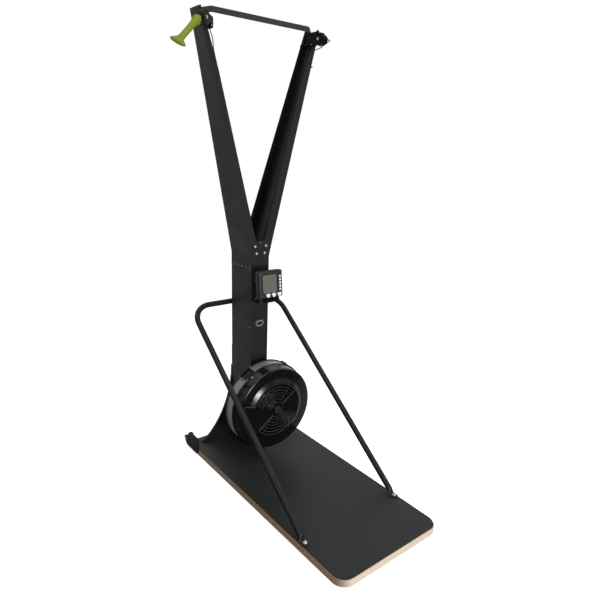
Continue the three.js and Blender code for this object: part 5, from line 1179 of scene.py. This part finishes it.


# Monitor bracket: an open box of black ABS on the column's front, which the monitor closes. The
# cradle in it carries the hinge barrel, and each side wall has two small screws.
# The box and the cradle are near black, as painted shade for the shadow inside the box.
soft_copy("monitor_bracket", "monitor_bracket_box", 0.8, shade_black_plastic)
soft_copy("monitor_cradle", "monitor_hinge_cradle", 0.8, shade_black_plastic)
BRACKET_HALF, BRACKET_SCREW_Y = 50, 345
BRACKET_SCREW_LOW, BRACKET_SCREW_PITCH = 915, 92
for side, sign in SIDES:
    screw_row(f"bracket_screws_{side}", domed_head(3.6, 2, 1.6, "x", sign),
              (sign * BRACKET_HALF, BRACKET_SCREW_Y, BRACKET_SCREW_LOW), 2,
              (0, 0, BRACKET_SCREW_PITCH))


# Monitor: two shells of moulded ABS joined round a seam, with a bezel that stands a little proud
# round the window. It tilts on the hinge pin.
MONITOR_HINGE = (0, 303, 910)
MONITOR_TILT = 6
MONITOR_FRONT, MONITOR_BACK = -24, 8
monitor_place = (Matrix.Translation(Vector(MONITOR_HINGE) * MM)
                 @ Matrix.Rotation(-radians(MONITOR_TILT), 4, "X"))


def rounded_rectangle(low_u, high_u, low_v, high_v, corner):
    """The outline of a rectangle with round corners."""
    left, right, low, high = low_u + corner, high_u - corner, low_v + corner, high_v - corner
    return [point for centre_u, centre_v, start in (
        (right, high, 0), (left, high, 90), (left, low, 180), (right, low, 270))
        for point in quarter(centre_u, centre_v, corner, start, 5)]


soft_copy("monitor_housing", "monitor_case", 0.6, black_plastic, body="monitor")
BEZEL_OUTER, BEZEL_INNER = (-51, 37, 38, 132, 4), (-46.6, 32.6, 42.4, 127.6, 1.2)
BEZEL_PROUD, BEZEL_SUNK = 0.8, 0.6
bezel = plate(rounded_rectangle(*BEZEL_OUTER), "y", MONITOR_FRONT - BEZEL_PROUD,
              MONITOR_FRONT + BEZEL_SUNK, [rounded_rectangle(*BEZEL_INNER)])
make_piece("monitor_bezel", moved(bezel, monitor_place), black_plastic, "monitor",
           soften=0.5)
SEAM_OUTER, SEAM_INNER = (-69.25, 69.25, 15.75, 150.25, 9), (-66, 66, 19, 147, 7)
SEAM_FRONT, SEAM_BACK = -8.4, -7.2
seam = plate(rounded_rectangle(*SEAM_OUTER), "y", SEAM_FRONT, SEAM_BACK,
             [rounded_rectangle(*SEAM_INNER)])
make_piece("monitor_seam", moved(seam, monitor_place), shade_black_plastic, "monitor")
CASE_SCREWS = (("low_left", -56, 28), ("low_right", 56, 28), ("high_left", -56, 138),
               ("high_right", 56, 138))
for name, x, z in CASE_SCREWS:
    case_screw = shape_of(domed_head(3.4, 1.4, 1.6, "y", 1))
    bmesh.ops.translate(case_screw, vec=Vector((x, MONITOR_BACK, z)) * MM, verts=case_screw.verts)
    make_piece(f"monitor_case_screw_{name}", moved(case_screw, monitor_place), black_powder,
               "monitor", sharp=30)


# Window: a sheet of clear acrylic over a plain liquid crystal display, which is switched off. It
# is glued behind the bezel.
# Switched-off display: a grey green with a faint light edge, under smooth acrylic.
screen_glass = even_finish("lcd_window", 0.5,
                           16.0, "#545b51", "#63695e", (0.12, 0.2), 900.0, 0.00001)
soft_copy("monitor_screen", "monitor_window", 0.2, screen_glass, body="monitor")
BORDER_OUTER, BORDER_INNER = (-46.4, 32.4, 42.6, 127.4, 1), (-44.8, 30.8, 44.2, 125.8, 0.8)
BORDER_FRONT, BORDER_BACK = 0.3, 0.69
rim = plate(rounded_rectangle(*BORDER_OUTER), "y", MONITOR_FRONT + BORDER_FRONT,
            MONITOR_FRONT + BORDER_BACK, [rounded_rectangle(*BORDER_INNER)])
# Printed border: a paler line round the display.
pale_print = even_finish("printed_border", 0.4,
                         60.0, "#7f8478", "#8e9386", (0.4, 0.5), 900.0, 0.00002)
make_piece("monitor_window_border", moved(rim, monitor_place), pale_print, "monitor")


# Keys: five round and three wide keys of white ABS, each in its own pocket, that press in by
# about a millimetre on a rubber mat.
# Moulded ABS, white: bright and slightly soft, greyed a little in the middle by fingers.
white_key = even_finish("abs_white_key", 0.4,
                        60.0, "#cfd0cd", "#dddddb", (0.35, 0.5), 900.0, 0.00005)
KEY_COUNTS = (("round", 5), ("wide", 3))
for kind, count in KEY_COUNTS:
    for k in range(1, count + 1):
        key = f"{kind}_key_{k}"
        soft_copy(key, f"{kind}_button_{k}", 0.7, white_key, body=key, segments=3)
